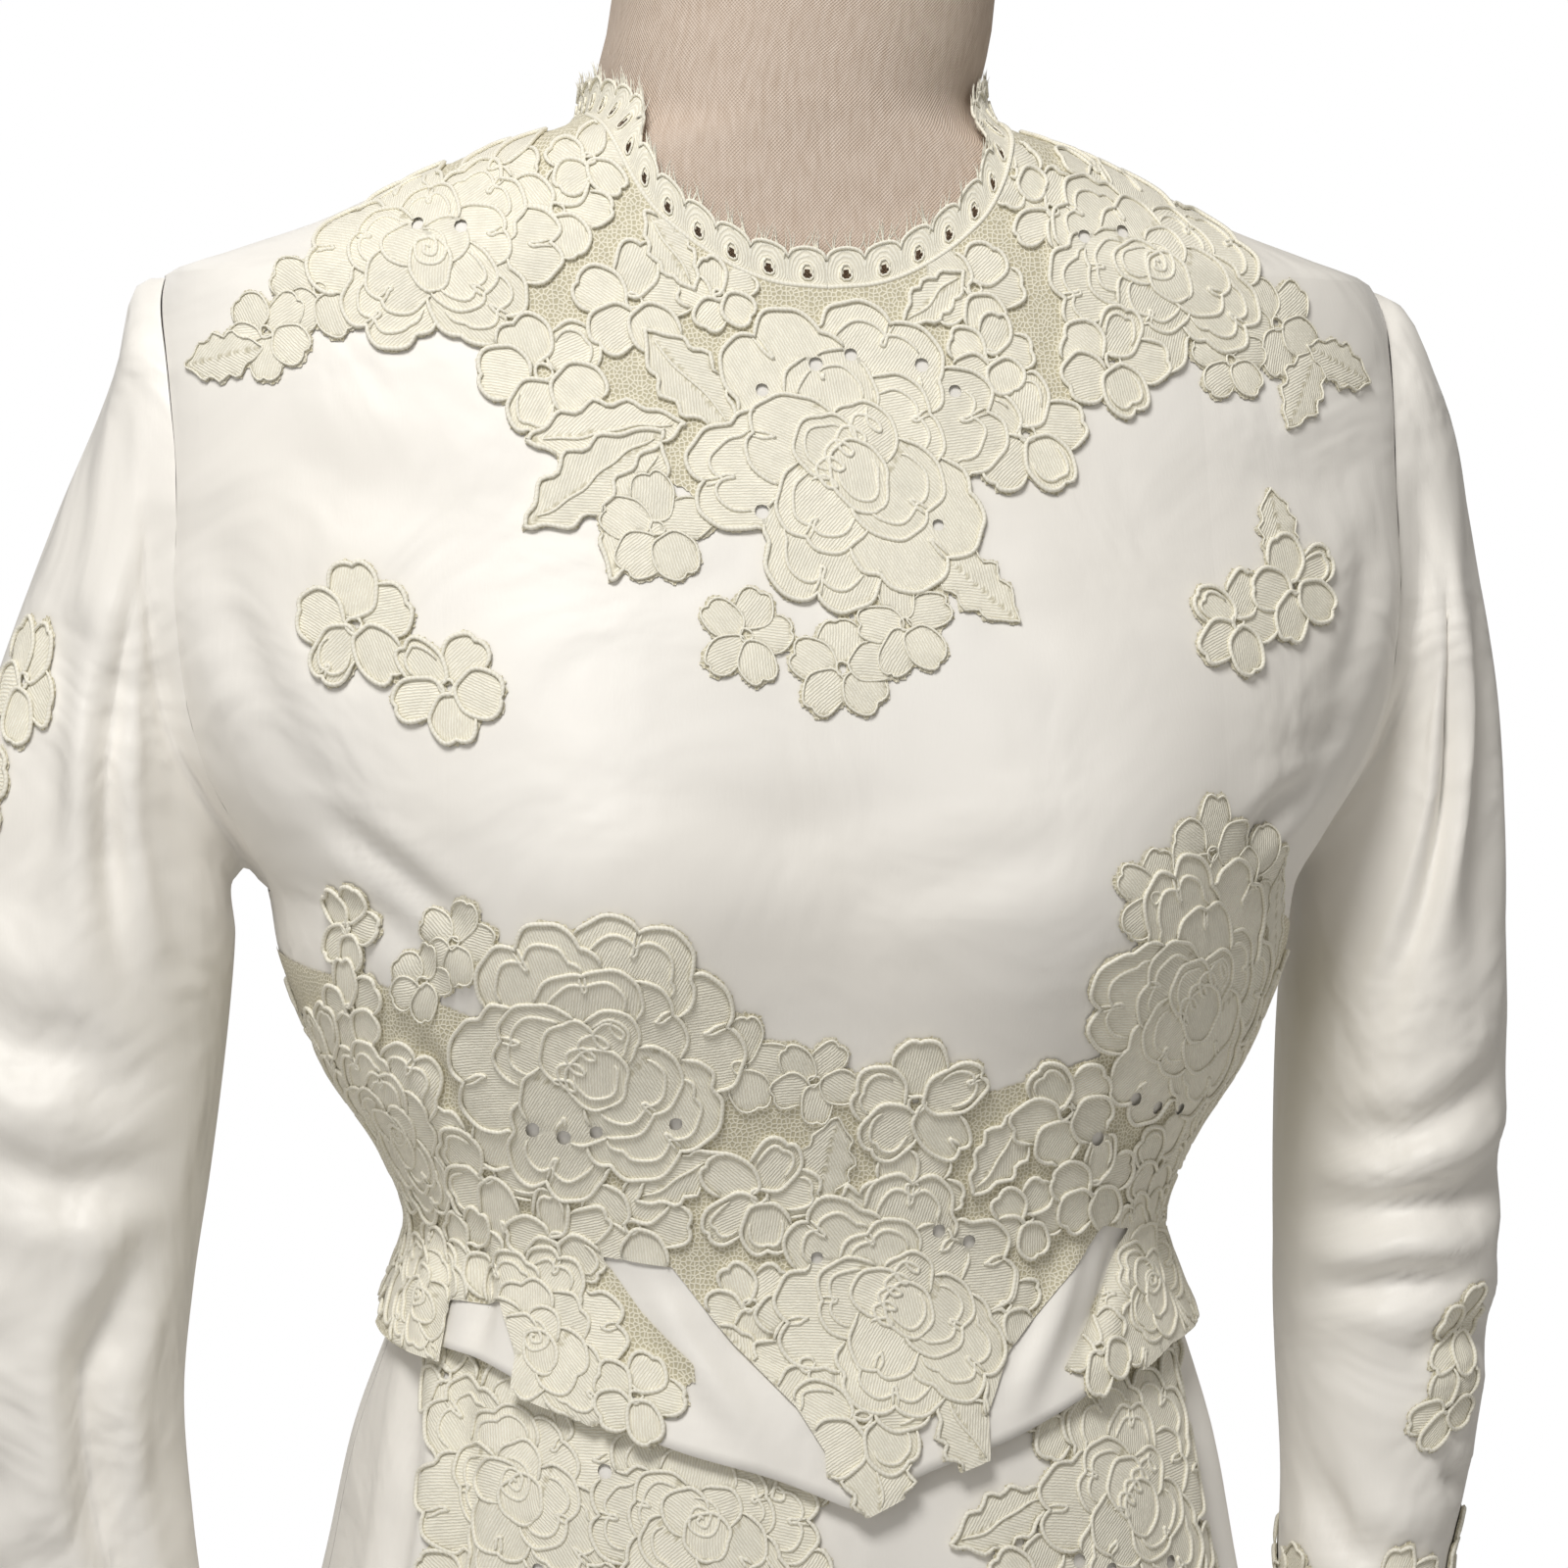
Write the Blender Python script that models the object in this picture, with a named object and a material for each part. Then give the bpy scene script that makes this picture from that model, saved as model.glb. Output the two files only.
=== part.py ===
"""A long-sleeved satin wedding dress with lace applique, worn by a limbless dress form on a stand.

Lengths below are millimetres and become metres in one place, place_mesh. +Z is up, the dress faces
-Y, and +X is on the viewer's right. Angles run round the body: 0 at centre front, 90 at the side
towards +X, 180 at centre back.
"""

import math
from collections import namedtuple

import bmesh
import bpy
import numpy as np
from mathutils import Vector
from mathutils.geometry import delaunay_2d_cdt

METRES_PER_MM = 0.001

# Points of a flat plan closer than this are one point
PLAN_TOLERANCE = 0.25

# Cloth
SATIN_WALL = 1.5
LACE_WALL = 1.2
SEAM_GAP = 0.3
ARMHOLE_GAP = 0.5
LACE_GAP = 0.3

# Heights of the dress above the floor
HEM_HEIGHT = 14.0
WAIST_HEIGHT = 1075.0
UNDERARM_HEIGHT = 1183.0
SHOULDER_HEIGHT = 1380.0
ARMHOLE_FRONT_DEPTH = 48.0
ARMHOLE_BACK_DEPTH = 52.0
ARMHOLE_STEPS = 8

# Level cuts of the body are superellipses; 2 would be an ellipse
SQUARENESS = 2.3

# Columns of the panels
BODICE_COLUMNS = 7
SKIRT_FRONT_COLUMNS = 18
SKIRT_BACK_COLUMNS = 10

# Outer face of the bodice: half width, and where the front, the back and the side line lie in Y
BodyCut = namedtuple("BodyCut", "height half_width front back side_line")
BODY = (
    BodyCut(960, 156, -129, 121, 0),
    BodyCut(1000, 147.5, -121.5, 113, 0),
    BodyCut(1035, 137.5, -112, 104, 0),
    BodyCut(1055, 129, -105, 97, 0),
    BodyCut(1075, 123, -102, 93, 0),
    BodyCut(1098, 131, -105, 95, 0),
    BodyCut(1128, 150, -112, 99, 1),
    BodyCut(1146, 158, -116, 102, 2),
    BodyCut(1165, 165, -119, 105, 3),
    BodyCut(1183, 168, -120, 108, 4),
    BodyCut(1200, 179, -119, 110, 6),
    BodyCut(1225, 196, -116, 112, 8),
    BodyCut(1255, 207, -111, 111, 9),
    BodyCut(1290, 212, -101, 108, 10),
    BodyCut(1330, 211, -89, 101, 11),
    BodyCut(1360, 207, -80, 93, 12),
    BodyCut(1380, 199, -75, 88, 12),
    BodyCut(1388, 178, -73, 86, 12),
    BodyCut(1397, 152, -70.5, 84, 12),
    BodyCut(1408, 128, -68.5, 82, 11),
    BodyCut(1419, 101, -67, 79.5, 10),
    BodyCut(1430, 69, -66.5, 77, 8),
    BodyCut(1436, 66, -66, 74.5, 7),
    BodyCut(1450, 64.5, -65.5, 70, 4),
    BodyCut(1480, 63.5, -65, 64, 0),
    BodyCut(1520, 63, -66, 60, -3),
)

# Bust mound on each side, added to the level cuts
BUST_SIDE = 84.0
BUST_HEIGHT = 1192.0
BUST_DEPTH = 17.0
BUST_WIDTH = 58.0
BUST_RISE = 62.0
BUST_DROP = 42.0

# Half opening of the neck at each level, in front and behind
NeckCut = namedtuple("NeckCut", "height front back")
NECK = (
    NeckCut(1380, 31, 0),
    NeckCut(1388, 43, 0),
    NeckCut(1397, 52.5, 0),
    NeckCut(1408, 59, 0),
    NeckCut(1414, 61.5, 0),
    NeckCut(1418, 63, 20),
    NeckCut(1422, 64.5, 37),
    NeckCut(1426, 65.5, 53),
    NeckCut(1430, 66.5, 66.5),
)

# Free lower edge of the bodice, by the angle round the body
BasqueEdge = namedtuple("BasqueEdge", "angle height")
BASQUE = (
    BasqueEdge(0, 1004),
    BasqueEdge(12, 1014),
    BasqueEdge(24, 1021),
    BasqueEdge(42, 1034),
    BasqueEdge(60, 1045),
    BasqueEdge(90, 1047),
    BasqueEdge(180, 1047),
)

# Outer face of the skirt, before its folds
SkirtCut = namedtuple("SkirtCut", "height half_width front back side_line")
SKIRT = (
    SkirtCut(14, 350, -300, 372, 20),
    SkirtCut(200, 313, -266, 325, 17),
    SkirtCut(400, 274, -231, 273, 13),
    SkirtCut(600, 233, -196, 220, 8),
    SkirtCut(750, 202, -169, 181, 4),
    SkirtCut(860, 175.5, -147, 149, 2),
    SkirtCut(930, 157, -131, 129, 0),
    SkirtCut(965, 149, -123, 119, 0),
    SkirtCut(1003, 141.5, -115, 109, 0),
    SkirtCut(1035, 131, -106, 99, 0),
    SkirtCut(1055, 124, -100.5, 93, 0),
    SkirtCut(1075, 119.5, -98.5, 89.5, 0),
)

# Soft folds of the skirt: a ridge has a positive depth, and depth is reached at the hem
Fold = namedtuple("Fold", "angle width depth start")
FOLDS = (
    Fold(-170, 9, 16, 1030),
    Fold(-150, 8, -13, 1030),
    Fold(-132, 9, 17, 1030),
    Fold(-114, 8, -14, 1035),
    Fold(-97, 9, 15, 1035),
    Fold(-79, 8, -12, 1035),
    Fold(-62, 8, 13, 1040),
    Fold(-44, 9, -6, 900),
    Fold(-20, 12, 7, 800),
    Fold(14, 13, 6, 760),
    Fold(42, 10, -7, 900),
    Fold(60, 9, 12, 1000),
    Fold(78, 8, -12, 1030),
    Fold(95, 9, 15, 1035),
    Fold(113, 8, -13, 1035),
    Fold(130, 9, 16, 1030),
    Fold(149, 8, -12, 1030),
    Fold(168, 9, 15, 1030),
)

# Rings of a sleeve: its outermost and underarm points, its share of the armhole's bulge, its depth
SleeveRing = namedtuple("SleeveRing", "outer_x outer_z inner_x inner_z bulge mid_y half_depth")
RIGHT_SLEEVE = (
    SleeveRing(206.5, 1378, 173, 1189, 1.0, 10, 47),
    SleeveRing(219, 1355, 178, 1187, 0.85, 10, 48.5),
    SleeveRing(230, 1313, 177, 1170, 0.6, 9.5, 50.5),
    SleeveRing(239, 1264, 175.5, 1152, 0.35, 8.5, 50),
    SleeveRing(244, 1208, 173, 1128, 0.15, 6.5, 49),
    SleeveRing(246.5, 1152, 171, 1096, 0.05, 3.5, 47),
    SleeveRing(245, 1097, 170, 1060, 0, 0, 45),
    SleeveRing(241, 1046, 169.5, 1022, 0, -4, 42.5),
    SleeveRing(234, 996, 170.5, 981, 0, -8, 39),
    SleeveRing(224, 955, 169, 945, 0, -12, 36),
    SleeveRing(221, 905, 173.5, 898, 0, -16, 32.5),
    SleeveRing(227, 850, 185, 846, 0, -21, 29),
    SleeveRing(238, 803, 199.5, 800, 0, -25, 26.5),
)
LEFT_SLEEVE = (
    SleeveRing(206.5, 1377.5, 173, 1189, 1.0, 10, 47),
    SleeveRing(214, 1352, 178.5, 1187, 0.85, 10, 48.5),
    SleeveRing(234, 1303, 178.5, 1169, 0.6, 9, 50.5),
    SleeveRing(252.5, 1254, 180, 1150, 0.35, 7.5, 50),
    SleeveRing(269, 1202, 183, 1124, 0.15, 5.5, 49),
    SleeveRing(281, 1150, 187.5, 1092, 0.05, 2.5, 47),
    SleeveRing(286, 1098, 193, 1058, 0, -1, 45),
    SleeveRing(284, 1047, 196.5, 1022, 0, -5, 43),
    SleeveRing(276, 998, 194, 982, 0, -9, 39.5),
    SleeveRing(265, 955, 190, 945, 0, -12, 36.5),
    SleeveRing(254, 905, 189, 898, 0, -16, 33),
    SleeveRing(245, 850, 191.5, 846, 0, -21, 29.5),
    SleeveRing(245, 803, 200, 800, 0, -25, 27),
)

# Dress form below the waist, where it is clear of the skirt
HIPS = (
    BodyCut(800, 128, -98, 98, 0),
    BodyCut(812, 138, -107, 106, 0),
    BodyCut(860, 143, -113, 111, 0),
    BodyCut(920, 141, -113, 110, 0),
    BodyCut(980, 133, -108, 103, 0),
    BodyCut(1035, 120, -97.5, 90, 0),
    BodyCut(1075, 115, -94, 85, 0),
)
FORM_TOP = 1512.0
FORM_REST_CLEARANCE = 0.35
FORM_RIDGE_WIDTH = 4.0
FORM_NECK_CLEARANCE = 2.6
FORM_HALF_WIDTH = 186.0
FORM_SIDES = 28
CAP_RADIUS = 58.0
CAP_THICKNESS = 9.0
POLE_RADIUS = 16.0
BASE_RADIUS = 205.0
BASE_THICKNESS = 14.0
COLLAR_RADIUS = 46.0
COLLAR_THICKNESS = 12.0

# Neck band and its lashes
BAND_HEIGHT = 12.0
BAND_GAP = 0.5
SCALLOPS = 44
SCALLOP_DIP = 2.6
LASHES = 56
LASH_ROOT = 1.2
LASH_STRIP = 1.5
LASH_LENGTH = 6.5
LASH_SEED = 7

# Covered buttons down the centre back
BUTTONS = 12
BUTTON_RADIUS = 5.0
BUTTON_HEIGHT = 4.2
BUTTON_SIDES = 6
BUTTON_TOP = 1404.0
BUTTON_PITCH = 28.0
BUTTON_LACE_TOP = 1146.0

# Lace motifs, by their place on a panel's plan: millimetres round the body and height, or down a sleeve
Motif = namedtuple("Motif", "kind along height across up turn")
LOBES = {"rose": 7, "floret": 5}
LOBE_NOTCH = 0.24
EYELET_SIDES = 6
Eyelet = namedtuple("Eyelet", "along height radius")
# A lace piece: its motifs, the net ground between them, satin left bare within it, and its eyelets
LacePiece = namedtuple("LacePiece", "motifs ground bare eyelets")

YOKE = LacePiece(
    motifs=(
        Motif("rose", 4, 1322, 46, 46, 10),
        Motif("leaf", -84, 1309, 34, 12, 222),
        Motif("floret", -56, 1301, 17, 17, 20),
        Motif("floret", -30, 1268, 15, 16, 0),
        Motif("floret", -3, 1258, 16, 15, 90),
        Motif("floret", 19, 1270, 15, 17, 30),
        Motif("floret", -93, 1344, 22, 19, 40),
        Motif("rose", -124, 1383, 42, 24, 0),
        Motif("floret", -160, 1366, 17, 14, 10),
        Motif("leaf", -182, 1356, 20, 8, 200),
        Motif("floret", 60, 1326, 20, 20, 15),
        Motif("rose", 108, 1378, 42, 28, 20),
        Motif("floret", 94, 1347, 20, 16, 0),
        Motif("floret", 152, 1362, 19, 15, 50),
        Motif("leaf", 175, 1345, 22, 8, 330),
    ),
    ground=((-128, 1419), (-120, 1368), (-96, 1344), (-60, 1318), (0, 1290), (60, 1330), (108, 1372), (120, 1419)),
    bare=(),
    eyelets=(
        Eyelet(-5, 1349, 3.4),
        Eyelet(6, 1353, 2.8),
        Eyelet(29, 1347, 2.8),
        Eyelet(38, 1340, 2.6),
        Eyelet(-20, 1339, 2.6),
        Eyelet(-22, 1304, 2.8),
        Eyelet(84, 1390, 2.8),
        Eyelet(98, 1391, 2.6),
        Eyelet(-112, 1390, 2.6),
        Eyelet(-126, 1391, 2.6),
    ),
)
GIRDLE = LacePiece(
    motifs=(
        Motif("rose", -78, 1141, 46, 44, 10),
        Motif("floret", -126, 1172, 17, 16, 30),
        Motif("leaf", -160, 1158, 34, 14, 96),
        Motif("rose", -150, 1106, 34, 30, 0),
        Motif("floret", -110, 1104, 24, 22, 0),
        Motif("floret", -32, 1137, 15, 15, 10),
        Motif("floret", -8, 1133, 14, 13, 60),
        Motif("floret", 21, 1126, 22, 21, 90),
        Motif("floret", -26, 1098, 19, 19, 0),
        Motif("rose", 16, 1067, 40, 40, 20),
        Motif("floret", 4, 1030, 27, 20, 90),
        Motif("leaf", 34, 1024, 15, 9, 300),
        Motif("rose", 118, 1155, 45, 42, 0),
        Motif("floret", 118, 1199, 20, 18, 90),
        Motif("floret", 148, 1190, 19, 18, 20),
        Motif("floret", 66, 1130, 20, 20, 50),
        Motif("rose", 152, 1114, 36, 34, 10),
        Motif("rose", -96, 1049, 27, 24, 10),
        Motif("floret", -140, 1062, 22, 22, 30),
        Motif("floret", -62, 1031, 16, 15, 0),
        Motif("rose", 116, 1057, 26, 28, 0),
        Motif("floret", 150, 1070, 20, 22, 0),
        Motif("floret", 82, 1041, 14, 14, 40),
    ),
    ground=((-230, 1165), (-150, 1160), (-40, 1134), (30, 1124), (90, 1140), (160, 1180), (230, 1160))
    + ((230, 1030), (110, 1040), (45, 1040), (4, 1020), (-30, 1045), (-110, 1036), (-230, 1030)),
    bare=(
        ((-74, 1080), (-50, 1050), (-42, 1034), (-44, 990), (-6, 990), (-10, 1030), (-28, 1056), (-52, 1080)),
        ((106, 1086), (78, 1054), (63, 1030), (60, 990), (42, 1000), (46, 1040), (66, 1058), (92, 1080)),
    ),
    eyelets=(
        Eyelet(-96, 1118, 3.0),
        Eyelet(-86, 1116, 3.0),
        Eyelet(-76, 1118, 2.6),
        Eyelet(97, 1123, 2.8),
        Eyelet(108, 1119, 2.8),
        Eyelet(121, 1117, 2.6),
        Eyelet(84, 1112, 3.2),
        Eyelet(21, 1085, 2.8),
        Eyelet(31, 1086, 2.8),
        Eyelet(41, 1080, 2.8),
    ),
)
GIRDLE_BACK = LacePiece(
    motifs=(
        Motif("rose", -148, 1140, 36, 34, 0),
        Motif("floret", -112, 1150, 20, 18, 90),
        Motif("rose", -76, 1128, 34, 32, 10),
        Motif("floret", -38, 1134, 20, 19, 0),
        Motif("rose", -14, 1110, 22, 26, 0),
    ),
    ground=((-230, 1145), (-150, 1150), (-60, 1135), (2, 1126), (2, 1030), (-230, 1030)),
    bare=(),
    eyelets=(Eyelet(-148, 1124, 2.8), Eyelet(-136, 1122, 2.6), Eyelet(-76, 1112, 2.8), Eyelet(-64, 1112, 2.6)),
)
SKIRT_LEFT = LacePiece(
    motifs=(
        Motif("rose", -44, 1000, 37, 34, 0),
        Motif("rose", -104, 1006, 38, 38, 20),
        Motif("floret", -18, 978, 20, 18, 0),
        Motif("rose", -84, 956, 33, 32, 0),
        Motif("floret", -50, 952, 20, 18, 50),
        Motif("floret", -98, 922, 20, 18, 0),
        Motif("leaf", -84, 894, 24, 9, 262),
    ),
    ground=((-120, 1046), (-30, 1030), (-30, 990), (-70, 950), (-110, 980)),
    bare=(),
    eyelets=(Eyelet(-74, 1014, 2.8), Eyelet(-96, 984, 2.8), Eyelet(-84, 982, 2.6)),
)
SKIRT_RIGHT = LacePiece(
    motifs=(
        Motif("rose", 98, 998, 38, 38, 0),
        Motif("floret", 64, 1012, 17, 17, 30),
        Motif("leaf", 48, 996, 18, 8, 200),
        Motif("floret", 58, 976, 17, 16, 0),
        Motif("rose", 88, 950, 32, 30, 10),
        Motif("floret", 100, 918, 20, 18, 0),
        Motif("leaf", 92, 890, 24, 9, 278),
    ),
    ground=((70, 1036), (125, 1046), (118, 990), (90, 950), (66, 975), (62, 1000)),
    bare=(),
    eyelets=(Eyelet(74, 982, 2.8), Eyelet(86, 978, 2.6), Eyelet(112, 978, 2.6)),
)
SPRIG_LEFT = LacePiece(
    motifs=(Motif("floret", -149, 1270, 20, 19, 20), Motif("floret", -121, 1252, 18, 17, 60)),
    ground=((-140, 1268), (-130, 1266), (-126, 1254), (-136, 1252)),
    bare=(),
    eyelets=(),
)
SPRIG_RIGHT = LacePiece(
    motifs=(
        Motif("floret", 128, 1270, 17, 16, 0),
        Motif("floret", 153, 1281, 18, 17, 40),
        Motif("leaf", 146, 1300, 14, 7, 100),
    ),
    ground=((132, 1270), (150, 1276), (146, 1292)),
    bare=(),
    eyelets=(),
)
SLEEVE_SPRIG_RIGHT = LacePiece(
    motifs=(Motif("floret", -46, -262, 14, 14, 0), Motif("floret", -50, -284, 13, 13, 40)),
    ground=(),
    bare=(),
    eyelets=(),
)
SLEEVE_SPRIG_LEFT = LacePiece(
    motifs=(Motif("floret", 34, -84, 14, 14, 0), Motif("floret", 26, -112, 14, 15, 40)),
    ground=(),
    bare=(),
    eyelets=(),
)
CUFF_RING = 9
CUFF_PEAK = 0.35
CUFF_DIP = 0.1
CUFF_GAP = 0.45


def column(rows, name):
    """One named column of a table, as an array."""
    return np.array([getattr(row, name) for row in rows], float)


def smooth(rows, name, place, along="height"):
    """Reads a column at any place on a cubic that passes through the rows and never overshoots."""
    known = column(rows, along)
    value = column(rows, name)
    slope = np.diff(value) / np.diff(known)
    tangent = np.zeros(len(value))
    turning = slope[1:] * slope[:-1] <= 0
    total = np.where(turning, 1, slope[1:] + slope[:-1])
    tangent[1:-1] = np.where(turning, 0, 2 * slope[1:] * slope[:-1] / total)
    tangent[0] = slope[0]
    tangent[-1] = slope[-1]
    place = np.clip(np.asarray(place, float), known[0], known[-1])
    row = np.clip(np.searchsorted(known, place) - 1, 0, len(known) - 2)
    step = known[row + 1] - known[row]
    t = (place - known[row]) / step
    start = (1 + 2 * t) * (1 - t) ** 2 * value[row] + t * (1 - t) ** 2 * step * tangent[row]
    end = t * t * (3 - 2 * t) * value[row + 1] + t * t * (t - 1) * step * tangent[row + 1]
    return start + end


def level_cut(rows, angle, height, extra=0.0):
    """Points on the superellipse of a table at each height, reaching out by extra more."""
    half_width = smooth(rows, "half_width", height)
    side_line = smooth(rows, "side_line", height)
    front = side_line - smooth(rows, "front", height)
    back = smooth(rows, "back", height) - side_line
    depth = np.where(np.cos(angle) > 0, front, back)
    across = np.abs(np.sin(angle) / half_width) ** SQUARENESS
    along = np.abs(np.cos(angle) / depth) ** SQUARENESS
    reach = (across + along) ** (-1 / SQUARENESS) + extra
    x = reach * np.sin(angle)
    y = side_line - reach * np.cos(angle)
    return np.stack([x, y, height + 0 * x], axis=-1)


def angle_at_x(rows, x, height, behind=False):
    """Angle at which the level cut reaches x, on the front or behind."""
    half_width = smooth(rows, "half_width", height)
    side_line = smooth(rows, "side_line", height)
    edge = smooth(rows, "back" if behind else "front", height)
    share = np.clip(np.abs(x) / half_width, 0, 1)
    depth = np.abs(edge - side_line) * (1 - share**SQUARENESS) ** (1 / SQUARENESS)
    angle = np.arctan2(np.abs(x), depth)
    return np.pi - angle if behind else angle


def angle_at_depth(rows, depth, height, behind=False):
    """Angle at which the level cut lies a given depth in front of or behind its side line."""
    half_width = smooth(rows, "half_width", height)
    side_line = smooth(rows, "side_line", height)
    edge = np.abs(smooth(rows, "back" if behind else "front", height) - side_line)
    share = np.clip(depth / edge, 0, 1)
    angle = np.arctan2(half_width * (1 - share**SQUARENESS) ** (1 / SQUARENESS), depth)
    return np.pi - angle if behind else angle


def body_point(angle, height):
    """Outer face of the bodice."""
    point = level_cut(BODY, angle, height)
    across = (np.abs(point[..., 0]) - BUST_SIDE) / BUST_WIDTH
    rise = point[..., 2] - BUST_HEIGHT
    up = rise / np.where(rise > 0, BUST_RISE, BUST_DROP)
    facing = np.clip(np.cos(angle), 0, 1) ** 0.5
    point[..., 1] -= BUST_DEPTH * facing * np.exp(-(across**2) - up**2)
    return point


def skirt_point(angle, height):
    """Outer face of the skirt, with its folds deepening towards the hem."""
    extra = 0 * (angle + height)
    for fold in FOLDS:
        turn = (angle - math.radians(fold.angle) + math.pi) % (2 * math.pi) - math.pi
        fall = np.clip((fold.start - height) / (fold.start - HEM_HEIGHT), 0, 1) ** 0.8
        extra = extra + fold.depth * fall * np.exp(-((turn / math.radians(fold.width)) ** 2))
    return level_cut(SKIRT, angle, height, extra)


def form_point(angle, height):
    """Face of the dress form: the bodice moved inwards, then hips of its own below the waist."""
    levels = [1095, 1130, 1340, 1400, 1424, 1434]
    clearance = np.interp(height, levels, [6.5, 3.0, 3.0, 2.8, 2.8, FORM_NECK_CLEARANCE])
    off_ridge = (np.abs(angle) - math.pi / 2) / math.radians(FORM_RIDGE_WIDTH)
    touching = np.interp(height, [1372, 1377, 1420, 1427], [0, 1, 1, 0]) * np.exp(-(off_ridge**2))
    clearance = clearance + (FORM_REST_CLEARANCE - clearance) * touching
    inset = (SATIN_WALL + clearance)[..., None]
    upper = body_point(angle, height) - inset * outward(body_point, angle, height)
    limit = FORM_HALF_WIDTH * np.tanh(np.abs(upper[..., 0] / FORM_HALF_WIDTH) ** 6) ** (1 / 6)
    near = np.abs(upper[..., 0]) > 0.6 * FORM_HALF_WIDTH
    upper[..., 0] = np.where(near, np.sign(upper[..., 0]) * limit, upper[..., 0])
    lower = level_cut(HIPS, angle, height)
    return np.where((height < WAIST_HEIGHT)[..., None], lower, upper)


def unit(vectors):
    """The same directions, one long."""
    return vectors / np.maximum(np.linalg.norm(vectors, axis=-1, keepdims=True), 1e-12)


def outward(surface, angle, height):
    """Outward normal of a surface of angle and height."""
    turn = 0.004
    rise = 0.6
    across = surface(angle + turn, height) - surface(angle - turn, height)
    up = surface(angle, height + rise) - surface(angle, height - rise)
    return unit(np.cross(across, up))


def distance_round(surface, angle, height):
    """Distance along the level cut from centre front, negative towards -X."""
    share = np.linspace(0, 1, 73)
    path = surface(angle[..., None] * share, height[..., None] + 0 * share)
    steps = np.linalg.norm(np.diff(path, axis=-2), axis=-1).sum(axis=-1)
    return np.sign(angle) * steps


# A sheet is cloth with no thickness yet: points, outward normals, a flat plan of them and triangles
Sheet = namedtuple("Sheet", "points normals plan triangles")


def grid_triangles(rows, columns, closed=False):
    """Triangles over a grid of points, facing outwards when columns run towards +X and rows up."""
    last = columns if closed else columns - 1
    row, start = np.meshgrid(np.arange(rows - 1), np.arange(last), indexing="ij")
    end = (start + 1) % columns
    corners = [row * columns + start, row * columns + end]
    corners += [(row + 1) * columns + end, (row + 1) * columns + start]
    low, right, top, left = [corner.ravel() for corner in corners]
    return np.concatenate([np.stack([low, right, top], 1), np.stack([low, top, left], 1)])


def sheet_of(surface, angle, height):
    """Sheet over a grid of angles and heights on a surface."""
    points = surface(angle, height)
    normals = outward(surface, angle, height)
    plan = np.stack([distance_round(surface, angle, height), height], axis=-1)
    triangles = grid_triangles(*angle.shape)
    return Sheet(points.reshape(-1, 3), normals.reshape(-1, 3), plan.reshape(-1, 2), triangles)


def mirrored(sheet):
    """The same sheet on the other side of the dress."""
    flip = np.array([-1, 1, 1])
    plan = sheet.plan * np.array([-1, 1])
    return Sheet(sheet.points * flip, sheet.normals * flip, plan, sheet.triangles[:, ::-1])


def joined(first, second):
    """Two sheets as one, with the points that they share welded."""
    points = np.concatenate([first.points, second.points])
    normals = np.concatenate([first.normals, second.normals])
    plan = np.concatenate([first.plan, second.plan])
    triangles = np.concatenate([first.triangles, second.triangles + len(first.points)])
    _, keep, same = np.unique(np.round(points, 3), axis=0, return_index=True, return_inverse=True)
    return Sheet(points[keep], normals[keep], plan[keep], same.reshape(-1)[triangles])


def edge_loops(triangles):
    """Directed edges that only one triangle has."""
    edges = np.concatenate([triangles[:, [0, 1]], triangles[:, [1, 2]], triangles[:, [2, 0]]])
    _, place, count = np.unique(np.sort(edges, axis=1), axis=0, return_index=True, return_counts=True)
    return edges[place[count == 1]]


def colour(name, hex_code, roughness, metallic=0.0):
    """Material with a colour given as an sRGB hex code."""
    material = bpy.data.materials.get(name)
    if material:
        return material
    material = bpy.data.materials.new(name)
    material.use_nodes = True
    channels = [int(hex_code[at : at + 2], 16) / 255 for at in (0, 2, 4)]
    linear = [c / 12.92 if c <= 0.04045 else ((c + 0.055) / 1.055) ** 2.4 for c in channels]
    shader = material.node_tree.nodes["Principled BSDF"]
    shader.inputs["Base Color"].default_value = (*linear, 1)
    shader.inputs["Roughness"].default_value = roughness
    shader.inputs["Metallic"].default_value = metallic
    return material


def satin():
    return colour("ivory_satin", "F7F3EE", 0.42)


def lace():
    return colour("sage_cream_lace", "DDDBC8", 0.85)


def linen():
    return colour("linen_cover", "D4C7BA", 0.9)


def iron():
    return colour("black_iron", "2A2928", 0.45)


def wood():
    return colour("turned_beech", "B58A5C", 0.5)


def place_mesh(name, material, points, faces):
    """Closed solid of its own, from points in millimetres."""
    shape = bmesh.new()
    corners = [shape.verts.new(Vector(point) * METRES_PER_MM) for point in points]
    for face in faces:
        shape.faces.new([corners[int(corner)] for corner in face])
    loose = [corner for corner in shape.verts if not corner.link_faces]
    bmesh.ops.delete(shape, geom=loose, context="VERTS")
    return place_shape(name, material, shape)


def place_shape(name, material, shape):
    """Object of a bmesh, in the scene."""
    mesh = bpy.data.meshes.new(name)
    shape.to_mesh(mesh)
    shape.free()
    mesh.materials.append(material)
    thing = bpy.data.objects.new(name, mesh)
    bpy.context.scene.collection.objects.link(thing)
    return thing


def thicken(name, material, sheet, inside, outside):
    """Solid between a sheet moved out by inside and by outside."""
    count = len(sheet.points)
    outer = sheet.points + outside * sheet.normals
    inner = sheet.points + inside * sheet.normals
    faces = sheet.triangles.tolist()
    faces += (sheet.triangles[:, ::-1] + count).tolist()
    faces += [(b, a, a + count, b + count) for a, b in edge_loops(sheet.triangles).tolist()]
    return place_mesh(name, material, np.concatenate([outer, inner]), faces)


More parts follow.
